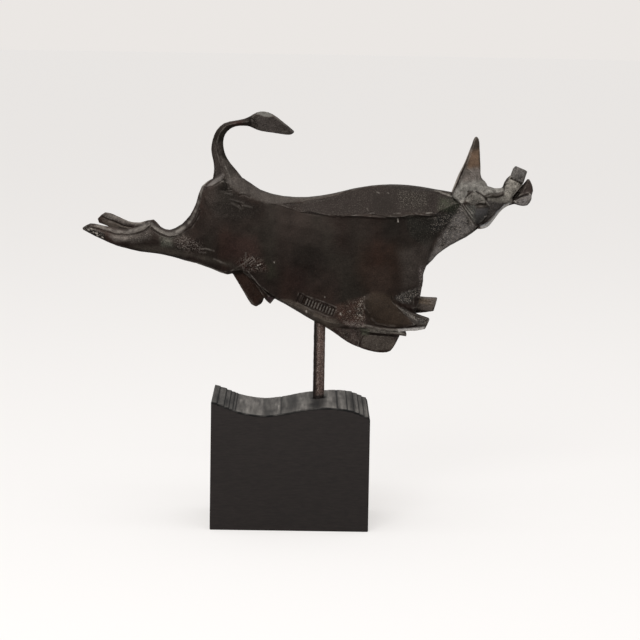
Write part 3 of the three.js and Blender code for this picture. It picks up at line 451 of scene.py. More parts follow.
# The patina's colours, from 0 to 255, and its areas, each (colour, strength, softness, outline).
UMBER = (36, 29, 26)
RUST = (56, 37, 31)
MOSS = (32, 33, 28)
# Of the next two colours, the light one is laid on lines and convex edges as rubbed metal and painted
# highlights, and the dark one on lines and hollows as patina and painted shade.
RUBBED_AND_SHEEN = (172, 165, 156)
SOOT_AND_SHADE = (18, 15, 13)
AREAS = {
    "ink": ((4, 4, 4), 0.7, 9, [(1.4, 240.1), (24.3, 243.8), (31.4, 225.4), (16.3, 214),
        (-2.5, 221.4)]),
    "plum": ((30, 12, 12), 0.5, 6, [(-5.9, 219.6), (11.1, 219.9), (11.4, 199.3), (-3.9, 200.7)]),
    "red a": ((18, 4, 4), 0.7, 8, [(32.4, 265.9), (49.3, 266.3), (48.2, 234.2), (34.6, 235.6)]),
    "red b": ((42, 24, 16), 0.6, 9, [(58.2, 239.5), (86.9, 245.1), (92.5, 221.3), (82.8, 200.6),
        (62.3, 202), (55.2, 220.7)]),
    "green a": ((4, 4, 4), 0.6, 6, [(64.5, 264.2), (83.2, 262.8), (93.4, 262.9), (92, 243.5),
        (70, 244.8)]),
    # Painted shade under the overhang of the hump's lower edge.
    "black a": ((4, 4, 4), 0.7, 5, [(93.3, 265.6), (120.6, 264.9), (115.7, 252.2), (97, 250.3)]),
    "rump green": ((4, 4, 4), 0.8, 5, [(-75.4, 284.5), (-58.6, 289.8), (-45.7, 279.9),
        (-27.1, 273.2), (-30.3, 263.3), (-48.7, 258.2), (-70.8, 264.6), (-76.9, 272.8)]),
    "crescent": ((116, 110, 106), 0.85, 1.3, [(-73.4, 287.7), (-70.9, 290.4), (-67.8, 293.4),
        (-64.6, 296), (-60.7, 298.4), (-59.2, 297.1), (-61.8, 293.3), (-66.2, 290.2), (-70.7, 287.5)]),
    "thigh rust": ((53, 36, 33), 0.7, 6, [(-57, 246.2), (-31.7, 246.5), (-26.4, 229.6), (-45, 224),
        (-56.9, 230.8)]),
    "groin green": ((38, 38, 30), 0.7, 4, [(-22.9, 224.5), (-15.3, 222.9), (-14.3, 212), (-21.1, 208)]),
    "groin": ((38, 13, 9), 0.7, 3, [(-48.4, 223.9), (-36.5, 231.2), (-24.6, 224.5), (-21.1, 217.7),
        (-33, 215.6), (-41.5, 217)]),
    "hind low": ((63, 58, 52), 0.7, 2, [(-138.8, 235.5), (-113.2, 236.2), (-87.5, 230.9),
        (-53.5, 223.8), (-48.4, 218.6), (-87.6, 227.3), (-122, 230.3)]),
    "shank edge": ((118, 112, 104), 0.8, 0.6, [(-91.2, 224), (-79.2, 221.6), (-68.1, 217.5), (-57, 213.2),
        (-57, 210.4), (-68.9, 214.3), (-80.1, 218.3), (-91.2, 221.9)]),
    "hind rough": ((32, 23, 22), 0.7, 3, [(-101.3, 243.2), (-91.1, 245.2), (-79, 240.6),
        (-74.7, 232.1), (-87.5, 231.7), (-99.4, 234.9)]),
    "hind green": ((80, 83, 74), 0.7, 2.5, [(-113.2, 243.8), (-103, 243.2), (-102.9, 235.6),
        (-111.4, 236.2)]),
    "hind light": ((124, 117, 111), 0.8, 2, [(-156.6, 243.8), (-147.3, 244.5), (-137.9, 244.1),
        (-141.2, 240.3), (-151.5, 239.6)]),
    "hock": ((61, 57, 54), 0.8, 3, [(-140.6, 246.5), (-130.3, 246), (-123.5, 250.8), (-120.1, 247.9),
        (-121.7, 242.9), (-130.2, 239.3), (-138.7, 238.2)]),
    "hoof": ((20, 19, 20), 1, 1.5, [(-178.4, 250.6), (-171.3, 250.2), (-161, 247.1), (-159.4, 240.1),
        (-168.1, 243.2)]),
    # A painted highlight along the upper bevels of the near hind leg.
    "bevel highlight": ((84, 79, 75), 0.8, 0.8, [(-167.9, 251.9), (-156.1, 249.4), (-140.7, 247.2),
        (-126.2, 252.7), (-122, 254.4), (-115.1, 249.6), (-104.9, 245.8), (-91.3, 252.5),
        (-97.9, 245.8), (-106.5, 244.3), (-115, 247.9), (-121.9, 252.9), (-130.3, 248.5),
        (-143.1, 245.7), (-157.6, 247.9)]),
    "far top": ((106, 99, 94), 0.9, 0.7, [(-162.9, 262.2), (-156.9, 262.3), (-148.3, 258.1),
        (-139.8, 255.7), (-127, 255.1), (-121.9, 253.7), (-135.5, 251.5), (-143.2, 253),
        (-155.2, 256.6), (-162.9, 259.5)]),
    "far face": ((93, 84, 76), 0.9, 0.7, [(-164.6, 257.8), (-158.6, 255.7), (-148.4, 252.1),
        (-138.5, 249.8), (-149.3, 248.6), (-161.4, 251.7)]),
    "tail front": ((64, 58, 55), 0.7, 1.5, [(-69.1, 326.2), (-61.9, 324.6), (-61.7, 311.2), (-59.3, 299.5),
        (-62.3, 296), (-66.5, 294.2), (-68, 302.5), (-69.8, 316)]),
    "loin": ((70, 65, 61), 0.9, 1.2, [(-62.1, 312), (-58.3, 309.4), (-49.7, 299.4), (-39.3, 290.3),
        (-27.3, 284.6), (-7.7, 279.8), (13.6, 279.8), (30.6, 281.8), (43.3, 285.4), (39, 282.2),
        (23.8, 277.8), (9.4, 275.9), (-7.6, 273.4), (-22, 273.3), (-33.1, 277.4), (-45.8, 282.4),
        (-54.3, 287.3), (-58, 294.5), (-60.7, 302.8)]),
    "loin rust": ((13, 4, 4), 0.9, 1, [(-20.3, 272.6), (-7.6, 273.8), (7.7, 274.3), (17.9, 276.9),
        (30.6, 279.6), (37.5, 266), (35.8, 264.8), (21.7, 265), (7.5, 266.6), (-3.9, 269.6), (-12.4, 272.2)]),
    "hump": ((22, 17, 17), 0.95, 1, [(5.2, 273.4), (17.9, 276.9), (34.8, 280.5), (56, 287.6),
        (85.7, 290.6), (115.5, 288.5), (132.6, 282.1), (141, 275.8), (134.2, 270.7), (123.9, 267.4),
        (111, 267.5), (94.1, 268), (79.7, 265.3), (66.2, 266.7), (43.4, 265.4), (21.7, 265),
        (7.5, 266.6)]),
    "hump green": ((4, 4, 4), 0.6, 4, [(66.2, 282.9), (86.5, 281.7), (83.1, 267), (66.2, 268.3)]),
    "hump grey": ((12, 15, 9), 0.6, 4, [(88.2, 286.6), (113.8, 285.2), (111.9, 270.7), (91.6, 272)]),
    "nape green": ((40, 47, 34), 0.8, 3, [(124, 280.5), (136.8, 279), (141, 274.1), (132.5, 269),
        (122.2, 270.8)]),
    "nape dark": ((18, 27, 18), 0.8, 3, [(130.1, 284.1), (139.6, 278.9), (140.8, 274.6), (137.1, 267.7),
        (132.1, 265.2), (131.2, 271.6), (133.2, 276.5), (130.1, 280.5)]),
    "crest dark": ((24, 26, 27), 0.6, 1.5, [(72.9, 291.3), (111.2, 290.2), (124.1, 286.1), (107, 286),
        (85.7, 287.3)]),
    "tongue": ((22, 26, 23), 0.7, 3, [(94.1, 265.6), (122.3, 265.7), (130.8, 269), (139.4, 272.4),
        (132.8, 260.4), (122.9, 246.7), (114.4, 236.7), (98.7, 248.6)]),
    "chest": ((71, 65, 61), 0.5, 6, [(89.8, 234.3), (108.8, 240.9), (126, 247), (122, 234), (115.5, 224.5),
        (112, 216), (108.7, 208.4), (95.8, 204.4), (93.3, 219.5)]),
    "neck more": ((29, 32, 34), 0.5, 4, [(121.4, 266.6), (130, 266.9), (136.9, 268.1), (134.5, 261.3),
        (125.2, 255.3), (118.3, 251.3), (115.6, 255.6)]),
    "neck": ((95, 92, 90), 0.9, 2.5, [(141.9, 274.1), (154.3, 257.1), (153, 252.5), (143.7, 246.4),
        (133.7, 239.4), (125.3, 232.4), (117.6, 224), (115.8, 227.4), (119.8, 236.2), (122.9, 244.9),
        (129.5, 253.6), (134.5, 261.3)]),
    "under eye": ((68, 70, 67), 0.8, 1, [(146, 275.1), (152.8, 276.1), (154.6, 272.7), (153.9, 265.9),
        (155.1, 258.9), (149.7, 265), (145.3, 270.9)]),
    "jaw": ((53, 51, 50), 0.9, 0.9, [(163.8, 279.6), (170.7, 278.8), (177.7, 277), (174.4, 272.8),
        (170.2, 267.6), (165.2, 262.5), (162.7, 260.8), (164.9, 267.8), (164.8, 273.7)]),
    "brow": ((136, 133, 127), 1, 0.9, [(136.6, 287.5), (142.2, 296.2), (157.5, 298.1), (168.2, 289.5),
        (177.6, 290.4), (178.4, 286.3), (172.4, 285.4), (164.6, 285), (161.2, 283.4), (156.5, 286),
        (147.5, 286.5), (145.3, 281), (142.2, 276.3), (139.3, 278.2), (134.2, 282.3)]),
    "lid": ((108, 105, 99), 0.9, 0.7, [(145.3, 281.4), (148.3, 284.1), (153.5, 286), (158.5, 283.9),
        (162, 279.7), (162.9, 277.1), (157, 277.9), (151.9, 276.1), (147.7, 277.2), (145.5, 278.9)]),
    "cheek": ((60, 60, 61), 1, 0.9, [(153.7, 272.4), (159, 273.2), (165, 272.7), (165, 269.5), (163.5, 264.3),
        (157.7, 257.6), (154.9, 260.7)]),
    "cheek low": ((38, 38, 37), 0.7, 2.5, [(154, 266), (165, 268), (164, 265), (158, 258), (155, 260)]),
    "snout low": ((112, 108, 101), 0.8, 0.8, [(164.6, 281.3), (175, 281.3), (185.6, 279.5), (185.7, 276),
        (175.1, 277), (164.7, 278.8)]),
    "jaw edge": ((191, 194, 198), 0.8, 0.7, [(158.6, 257.2), (163.7, 258.9), (168.7, 264.1),
        (173.7, 270.1), (178.7, 275.2), (184.7, 277), (179.7, 272.7), (173.9, 265.7), (168.1, 257.9),
        (160.6, 254.4)]),
    "muzzle": ((135, 131, 123), 1, 1, [(173.3, 280.5), (178.4, 283.8), (179.3, 290.5), (182.5, 297.3),
        (185.7, 307.6), (197.8, 304.3), (194.3, 294.3), (187.1, 284.6), (185.6, 279.5), (179.4, 277.9)]),
    "nose": ((91, 89, 87), 1, 0.8, [(187.4, 307.8), (197.8, 304.3), (194.1, 294.1), (184.2, 298.2)]),
    "tongue leaf": ((65, 56, 53), 1, 0.6, [(192.7, 288.8), (195.7, 293.1), (199, 296.5),
        (201.6, 294.9), (203, 288.1), (201.8, 284.7), (197.5, 284.3), (191.5, 282.5)]),
    "chin": ((99, 96, 96), 0.9, 0.7, [(187.2, 279.1), (191.7, 281.1), (196.6, 283.2), (202.6, 285.6),
        (201.7, 279.8), (198.4, 275.4), (194.2, 274.5), (189, 276.6)]),
    "mouth": ((4, 4, 4), 1, 0.7, [(185.3, 281), (188.5, 285.2), (191.8, 288.3), (195, 292),
        (195.8, 291), (194.6, 287.4), (192.7, 284), (190.1, 281.2), (187, 279.5)]),
    "horn tip": ((70, 63, 56), 0.9, 2, [(150.9, 333.7), (155.5, 333.8), (156.2, 322), (149, 321.9)]),
    "horn low": ((128, 120, 114), 0.9, 2, [(146.4, 307.5), (157.6, 307.5), (158.4, 296.4),
        (142.2, 294.5)]),
    "copper": ((130, 106, 87), 0.9, 3.2, [(148.6, 321), (156.2, 322), (157.6, 307.5), (146.5, 306.6)]),
    "far horn": ((160, 151, 142), 0.9, 1, [(132, 284), (158, 284), (160, 340), (140, 340)]),
    "belly": ((86, 78, 70), 0.7, 1.5, [(-14.1, 192.3), (-2.1, 192.1), (9.1, 188), (16.8, 182.9),
        (27.1, 178), (37.3, 176.6), (43.4, 170.4), (32.5, 165.9), (28.1, 170.2), (18.7, 174.3),
        (6.6, 179.8)]),
    "stripe": ((60, 40, 33), 0.8, 3, [(36.3, 187.8), (59.1, 195.1), (60.9, 189.3), (61.3, 170.9),
        (45.1, 171.5), (37.3, 177.4)]),
    "stripe edge": ((58, 47, 40), 0.6, 1.5, [(53.2, 189.8), (57.4, 193.4), (60.7, 196), (61.2, 176.1),
        (54.4, 176)]),
    "stripe foot": ((86, 75, 73), 0.5, 1.5, [(42.5, 174.1), (51, 175.1), (61.2, 174.4), (61.3, 169),
        (49.4, 169.6)]),
    "shoulder brown": ((48, 38, 33), 0.7, 6, [(62, 219.1), (80.6, 222.9), (89.4, 207.6), (81.2, 193.8),
        (65.9, 193.7)]),
    "leaf": ((53, 43, 34), 0.7, 3, [(61.6, 193.6), (67.5, 200.4), (82.8, 198.9), (88.1, 190.4),
        (95.1, 183.6), (100.3, 176.9), (102, 172.7), (87.7, 170.6), (73.2, 171.9), (66.3, 176.2),
        (62.6, 185)]),
    "notch light": ((54, 53, 52), 0.9, 1, [(86.3, 195.5), (92.2, 199), (98.9, 202.5), (108.5, 204.6),
        (108.9, 197.1), (103.7, 195.6), (101.1, 190.6), (94.1, 191.9)]),
    "notch dark": ((26, 15, 12), 0.9, 0.9, [(87.2, 192.9), (95, 190.3), (101.1, 189), (103, 183),
        (95.1, 186), (89.8, 190.3)]),
    "arm": ((58, 57, 55), 0.8, 0.9, [(89.8, 188.7), (98.6, 184.2), (105.5, 180), (117.5, 176.8),
        (113.3, 171.6), (106.3, 175.9), (98.5, 180.2)]),
    "stub face": ((68, 64, 60), 0.8, 0.9, [(95.1, 182.8), (102, 176.1), (107.3, 171.6), (112.5, 171.6),
        (108.9, 175.1), (100.3, 180.1)]),
    "far stub": ((102, 93, 87), 0.9, 1, [(104.5, 196.4), (124.2, 195), (122.5, 186.5), (120.1, 182),
        (104.7, 184.6)]),
    "far stub brown": ((99, 85, 70), 0.7, 1, [(105.5, 193.7), (118.2, 191.6), (119.1, 187.4),
        (106.4, 188.6)]),
    "strip": ((91, 87, 81), 0.8, 0.8, [(63, 170.1), (75, 168.4), (92.1, 167.8), (95.7, 164.1),
        (79.4, 163.9), (65, 165)]),
    # The stub's underside is painted near white, a painted highlight for the light thrown up by the floor.
    "stub under": ((193, 189, 185), 0.9, 0.7, [(90.4, 168.4), (113.4, 170.5), (113, 168),
        (107.6, 166.2), (90.5, 165.8)]),
    "brisket left": ((70, 60, 56), 0.8, 1.5, [(36.7, 167.8), (59.7, 167.9), (60.8, 161.3),
        (56.7, 152.5), (45.5, 157.5)]),
    "brisket": ((79, 72, 66), 0.9, 0.9, [(63.3, 162.2), (90.8, 161.5), (85.9, 149.3), (71.4, 148.2),
        (59.3, 152.4), (60.8, 159.5)]),
    "brisket green": ((89, 91, 78), 0.8, 1.5, [(58.8, 168.9), (66.5, 168.2), (65.9, 162.2),
        (59.1, 162.1)]),
    "brisket end": ((60, 48, 49), 0.7, 1.5, [(87.1, 164.1), (92.3, 163.2), (89.8, 157.1), (85.7, 159.8)]),
    "chest edge": ((80, 72, 72), 0.7, 1.5, [(107.8, 223), (112.5, 223), (112.5, 195), (107, 195.5)]),
    "sheath": ((41, 24, 17), 0.9, 0.8, [(-51.1, 212.4), (-42.6, 214.3), (-38.2, 211.2), (-31.3, 203.6),
        (-22.6, 194.2), (-26.1, 192.1), (-32.8, 186.8), (-39.8, 193.6), (-46.8, 204.7)]),
    "sheath end": ((57, 44, 49), 0.9, 0.8, [(-22.6, 192.9), (-20.5, 194.7), (-15.8, 193), (-18.7, 188.2)]),
    "panel": ((28, 18, 13), 0.9, 0.5, [(9.8, 195.7), (14.1, 193.6), (19.2, 191.2), (25.2, 188.8),
        (30.3, 187.1), (37.2, 185.7), (35.5, 181.7), (33.9, 178.6), (28.8, 179.4), (22.8, 182.2),
        (17.6, 183.8), (11.6, 186.7), (7.3, 189.1)]),
    "tail copper": ((38, 6, 4), 0.8, 1.5, [(-55.3, 342.1), (-48.5, 342.6), (-42.6, 342.4),
        (-46.8, 340.1), (-53.6, 338.8)]),
    "tuft": ((54, 50, 48), 0.95, 0.8, [(-36.6, 345.3), (-34.7, 347.4), (-31.7, 348.4), (-29.6, 347.7),
        (-27.2, 346.6), (-24.3, 346.6), (-21.5, 346.5), (-19.2, 347.2), (-15.5, 345.2), (-9.2, 341.6),
        (-2.5, 337.1), (-0.1, 334.2), (-1, 332.8), (-4.8, 331.5), (-19.4, 333.5), (-29.8, 335),
        (-32.6, 336.9), (-36.4, 339.3)]),
    "tuft light": ((108, 107, 102), 0.9, 0.7, [(-33.8, 348.6), (-31.7, 350.2), (-29.2, 351.4), (-25.5, 351.6),
        (-21.6, 350.4), (-19.9, 349.2), (-19.2, 347.6), (-21.5, 346.9), (-24.3, 347.1), (-27.2, 347.3),
        (-29.6, 348.5), (-31.7, 349.3)]),
    "tuft neck": ((32, 28, 25), 0.8, 1.5, [(-43.5, 344.4), (-36.7, 346.3), (-33.2, 343.1),
        (-31.5, 336.2), (-38.3, 339), (-43.4, 339.3)]),
}
SPECKLED = {
    "stripe": 0.3, "stripe edge": 0.9, "stripe foot": 0.8, "neck": 0.6, "neck more": 0.5, "hoof": 0.4,
    "groin": 0.4, "hind rough": 0.5, "hind green": 0.3, "hind light": 0.3, "hock": 0.35, "far top": 0.3,
    "bevel highlight": 0.3, "tail front": 0.1, "loin": 0.15, "loin rust": 0.12, "hump": 0.1, "nape green": 0.25,
    "tongue": 0.1, "brow": 0.35, "lid": 0.45, "under eye": 0.4, "muzzle": 0.6, "nose": 0.4, "chin": 0.4,
    "notch light": 0.8, "arm": 0.5, "strip": 0.4, "far stub": 0.2, "chest edge": 0.55, "belly": 0.15,
    "brisket left": 0.3, "brisket": 0.2, "tuft": 0.15, "rump green": 0.06, "cheek": 0.05, "jaw": 0.15,
    "mouth": 0, "tongue leaf": 0.1, "copper": 0.05, "horn low": 0.25, "leaf": 0.04, "panel": 0.02,
    "sheath": 0.06, "hump grey": 0.3, "hump green": 0.05, "chest": 0.05, "cheek low": 0.05,
}
PLAIN_SPECKS = 0.02

# The sunk panel on the belly, with its rows of short strokes.
STROKES = {"from": (12, 190.8), "to": (34, 182.4), "count": 10, "rows": (-1.5, 1.4), "tall": 0.9,
    "wide": 0.45, "high": 0.5, "light": 0.3}
PANEL_DEPTH = 0.8


def facing(normals, flank):
    """1 where the surface faces up or out on that flank, and 0 where it faces away."""
    return ease(-0.3, 0.05, normals[:, 1] * flank)


def every_line():
    return [line for lines in LINES.values() for line in lines]


def near_marks(places):
    """How far the near flank's lines raise the surface at each place, and how light and how dark they paint
    it: rubbed metal and painted highlights, and painted shade.
    """
    up, down = np.zeros(len(places)), np.zeros(len(places))
    light, dark = np.zeros(len(places)), np.zeros(len(places))
    # Noise breaks up the lines' painted highlights and painted shade.
    tone_share = np.clip(0.65 + noise(np.insert(places, 1, 0, axis=1), 2.5, 91), 0.1, 1)
    for width, height, tone, path in every_line():
        low, high = np.min(path, axis=0) - width, np.max(path, axis=0) + width
        near = np.all((places > low) & (places < high), axis=1)
        share = ease(width, 0.25 * width, distance_to_path(places[near], path))
        up[near] = np.maximum(up[near], RELIEF * height * share)
        down[near] = np.minimum(down[near], RELIEF * height * share)
        toned = tone * share * (1 if abs(tone) > WHOLE else tone_share[near])
        light[near] = np.maximum(light[near], toned)
        dark[near] = np.minimum(dark[near], toned)
    return up + down, light, -dark


def strokes_at(places):
    """1 on the panel's strokes, and 0 away from them."""
    start, end = np.array(STROKES["from"]), np.array(STROKES["to"])
    along = (end - start) / np.linalg.norm(end - start)
    across = np.array([-along[1], along[0]])
    shares = np.zeros(len(places))
    close = np.linalg.norm(places - (start + end) / 2, axis=1) < np.linalg.norm(end - start)
    for share, row in itertools.product(np.linspace(0, 1, STROKES["count"]), STROKES["rows"]):
        middle = start + (end - start) * share + across * row
        reach = across * STROKES["tall"] * (1 + 0.2 * math.cos(23 * share + row))
        gap = distance_to_path(places[close], [tuple(middle - reach), tuple(middle + reach)])
        shares[close] = np.maximum(shares[close], ease(2 * STROKES["wide"], 0.5 * STROKES["wide"], gap))
    return shares


def panel_marks(places):
    """The panel is sunk, and its strokes stand up from its floor."""
    sunk = PANEL_DEPTH * ease(-0.3, 0.4, depth_inside(places, AREAS["panel"][3]))
    return STROKES["high"] * strokes_at(places) - sunk


def shifted(points, normals):
    """The points with the near side's form shifted where it needs it."""
    points = points.copy()
    near = facing(normals, NEAR)
    for middle, reach, move in SHIFTS:
        share = ease(reach, 0, np.linalg.norm(points - middle, axis=1)) * near
        points += share[:, None] * np.array(move)
    for place, reach, move in OUTLINE_SHIFTS:
        share = ease(reach, 0, np.linalg.norm(points[:, [0, 2]] - place, axis=1))
        points[:, [0, 2]] += share[:, None] * np.array(move)
    x, y, z = points.T
    depth = depth_inside(points[:, [0, 2]], AREAS["tuft"][3])
    face = TUFT["face"] + TUFT["drop"] * ease(0, TUFT["bevel"], -depth)
    share = ease(TUFT["from"], TUFT["full"], x) * (x < 5) * (z > 328) * ease(MIDDLE, MIDDLE - 3, y)
    points[:, 1] += share * (face - y)
    return points


def carve(points, normals):
    """The bronze's points with its finer relief."""
    places = points[:, [0, 2]]
    height, _, _ = near_marks(places)
    near, far = facing(normals, NEAR), ease(0.3, 0.6, normals[:, 1])
    on_belly = np.all((places > (0, 172)) & (places < (45, 205)), axis=1)
    out = height * near + np.minimum(height, 0) * 0.5 * far
    out[on_belly] += panel_marks(places[on_belly]) * near[on_belly]
    out += 0.08 * rough_noise(points, 9, 3) + 0.05 * rough_noise(points, 2.2, 8, 2)
    return points + normals * out[:, None]


def linear(colour):
    """Scene values of a colour given from 0 to 255."""
    share = np.array(colour, float) / 255
    return np.where(share <= 0.04045, share / 12.92, ((share + 0.055) / 1.055) ** 2.4)


def laid(colours, colour, strength):
    """The colours with another one laid over them, where strength says."""
    strength = np.clip(strength, 0, 1)[:, None]
    return colours * (1 - strength) + linear(colour) * strength


def patina(points, normals, convex):
    """The colour of the bronze at each point, with painted highlights and painted shade along its lines and
    edges, and how thickly it is specked with metal bared by rubbing.
    """
    places = points[:, [0, 2]]
    near = facing(normals, NEAR)
    warped = places + 0.6 * np.stack([rough_noise(points, 5, 21, 2), rough_noise(points, 5, 24, 2)], axis=1)
    colours = np.tile(linear(UMBER), (len(points), 1))
    specks = np.full(len(points), PLAIN_SPECKS)
    streaks = noise(points * (1, 0.2, 0.3), 13, 31)
    colours = laid(colours, RUST, ease(0, 0.7, streaks) * 0.5)
    colours = laid(colours, MOSS, ease(0, 0.7, -streaks) * 0.5)
    for name, (colour, strength, softness, outline) in AREAS.items():
        share = ease(-softness, softness, depth_inside(warped, outline)) * (0.5 + 0.5 * near)
        if name.startswith("far"):
            share = share * ease(MIDDLE, MIDDLE + 2, points[:, 1])
        colours = laid(colours, colour, strength * share)
        if name in SPECKLED:
            specks = specks * (1 - share) + SPECKLED[name] * share
    rough = np.clip(2.5 * specks, 0, 1)
    mottle = 0.3 * rough_noise(points, 6, 41, 4) + 0.6 * rough * rough_noise(points, 2.2, 45, 2)
    colours *= np.maximum(1 + mottle, 0.2)[:, None]
    _, light, dark = near_marks(places)
    colours = laid(colours, RUBBED_AND_SHEEN, STROKES["light"] * strokes_at(places) * near)
    framed = 1 - 0.7 * ease(-1.5, 0, depth_inside(places, AREAS["panel"][3])) * near
    # Light lines and convex edges are painted lighter, partly as rubbed metal and partly as painted
    # highlights.
    sheen = 0.25 * ease(*EDGES, convex) * framed * np.clip(0.55 + 1.1 * noise(points, 3.5, 92), 0, 1.4)
    colours = laid(colours, RUBBED_AND_SHEEN, np.maximum(light * near, sheen))
    # Dark lines and hollows are painted darker, partly as the dark patina that gathers in them and partly as
    # painted shade.
    return laid(colours, SOOT_AND_SHADE, np.maximum(dark * near, 0.45 * ease(*EDGES, -convex))), specks


def rgba(colour):
    return (*linear(colour), 1.0)


# Materials.
def shader(name):
    """A new material with its node tree and its main shader."""
    material = bpy.data.materials.new(name)
    material.use_nodes = True
    tree = material.node_tree
    return material, tree, tree.nodes["Principled BSDF"]


def noise_node(tree, scale, detail=3.0, roughness=0.6, stretch=(1, 1, 1)):
    """Noise through the piece. The scale is in repeats a metre."""
    coordinates = tree.nodes.new("ShaderNodeTexCoord")
    mapping = tree.nodes.new("ShaderNodeMapping")
    mapping.inputs["Scale"].default_value = stretch
    texture = tree.nodes.new("ShaderNodeTexNoise")
    texture.inputs["Scale"].default_value = scale
    texture.inputs["Detail"].default_value = detail
    texture.inputs["Roughness"].default_value = roughness
    tree.links.new(coordinates.outputs["Object"], mapping.inputs["Vector"])
    tree.links.new(mapping.outputs["Vector"], texture.inputs["Vector"])
    return texture.outputs["Fac"]


def ranged(tree, value, low, high, to_low, to_high):
    """The value with its range from low to high moved to another range, and kept inside it."""
    node = tree.nodes.new("ShaderNodeMapRange")
    for name, number in zip(("From Min", "From Max", "To Min", "To Max"), (low, high, to_low, to_high)):
        node.inputs[name].default_value = number
    tree.links.new(value, node.inputs["Value"])
    return node.outputs["Result"]


def mixed(tree, share, first, second, blend="MIX"):
    """A mix of two colours, each a link or a plain colour from 0 to 255."""
    node = tree.nodes.new("ShaderNodeMix")
    node.data_type = "RGBA"
    node.blend_type = blend
    if isinstance(share, float):
        node.inputs["Factor"].default_value = share
    else:
        tree.links.new(share, node.inputs["Factor"])
    for name, colour in (("A", first), ("B", second)):
        socket = next(s for s in node.inputs if s.name == name and s.type == "RGBA")
        if isinstance(colour, tuple):
            socket.default_value = rgba(colour)
        else:
            tree.links.new(colour, socket)
    return next(s for s in node.outputs if s.type == "RGBA")


def attribute(tree, name, output="Fac"):
    node = tree.nodes.new("ShaderNodeAttribute")
    node.attribute_name = name
    return node.outputs[output]


def multiplied(tree, first, second):
    node = tree.nodes.new("ShaderNodeMath")
    node.operation = "MULTIPLY"
    tree.links.new(first, node.inputs[0])
    tree.links.new(second, node.inputs[1])
    return node.outputs[0]


def bumped(tree, main, height, strength, distance):
    node = tree.nodes.new("ShaderNodeBump")
    node.inputs["Strength"].default_value = strength
    node.inputs["Distance"].default_value = distance
    tree.links.new(height, node.inputs["Height"])
    tree.links.new(node.outputs["Normal"], main.inputs["Normal"])


def bronze_material():
    """Dark patinated bronze, with a fine mottle, light specks and dull pores."""
    material, tree, main = shader("bronze")
    fine = noise_node(tree, 900, 4, 0.65)
    mottle = mixed(tree, ranged(tree, fine, 0.35, 0.65, 0, 1), (195, 195, 195), (255, 255, 255))
    coat = mixed(tree, 1.0, attribute(tree, "patina", "Color"), mottle, "MULTIPLY")
    pits = ranged(tree, noise_node(tree, 1000, 3, 0.6), 0.46, 0.36, 0, 1)
    coat = mixed(tree, multiplied(tree, pits, attribute(tree, "specks")), coat, (14, 12, 11))
    grains = ranged(tree, noise_node(tree, 1300, 3, 0.6), 0.53, 0.66, 0, 1)
    coat = mixed(tree, multiplied(tree, grains, attribute(tree, "specks")), coat, (165, 156, 146))
    tree.links.new(coat, main.inputs["Base Color"])
    tree.links.new(ranged(tree, fine, 0.3, 0.7, 0.36, 0.56), main.inputs["Roughness"])
    main.inputs["Metallic"].default_value = 0.1
    main.inputs["Specular IOR Level"].default_value = 0.25
    main.inputs["Specular Tint"].default_value = (1, 0.82, 0.7, 1)
    bumped(tree, main, fine, 0.35, 0.0004)
    return material


def rod_material():
    """Rough brown bar, with a painted highlight along one line and painted shade on its left side and at its
    foot.
    """
    material, tree, main = shader("rod")
    fine = noise_node(tree, 700, 4, 0.7)
    coat = mixed(tree, ranged(tree, fine, 0.35, 0.65, 0, 1), (36, 27, 25), (112, 91, 82))
    sheen = ranged(tree, noise_node(tree, 1000, 3, 0.6), 0.52, 0.6, 0, 1)
    tone_share = multiplied(tree, sheen, attribute(tree, "sheen"))
    coat = mixed(tree, tone_share, coat, (176, 162, 152))
    coat = mixed(tree, attribute(tree, "dark"), coat, (16, 12, 11))
    tree.links.new(coat, main.inputs["Base Color"])
    tree.links.new(ranged(tree, fine, 0.3, 0.7, 0.35, 0.6), main.inputs["Roughness"])
    main.inputs["Metallic"].default_value = 0.1
    main.inputs["Specular IOR Level"].default_value = 0.3
    bumped(tree, main, fine, 0.6, 0.0005)
    return material


def wood_material():
    """Wood stained black. The sawn top is greyer and duller, and dark in the cuts, with painted shade round
    the rod's foot and along the top's front edge.
    """
    material, tree, main = shader("black_wood")
    grain = noise_node(tree, 160, 4, 0.6, (1, 1, 6))
    stain = mixed(tree, ranged(tree, grain, 0.3, 0.7, 0, 1), (38, 34, 33), (46, 41, 39))
    lines = noise_node(tree, 420, 3, 0.6, (1, 0.06, 0.2))
    tone_share = multiplied(tree, ranged(tree, lines, 0.35, 0.65, 0.6, 1), attribute(tree, "tone_share"))
    sawn = mixed(tree, tone_share, (26, 24, 23), (150, 145, 139))
    top = attribute(tree, "sawn")
    coat = mixed(tree, attribute(tree, "cuts_and_shade"), mixed(tree, top, stain, sawn), (9, 8, 8))
    tree.links.new(coat, main.inputs["Base Color"])
    tree.links.new(ranged(tree, top, 0, 1, 0.5, 0.62), main.inputs["Roughness"])
    main.inputs["Specular IOR Level"].default_value = 0.25
    bumped(tree, main, multiplied(tree, lines, top), 0.2, 0.0003)
    return material


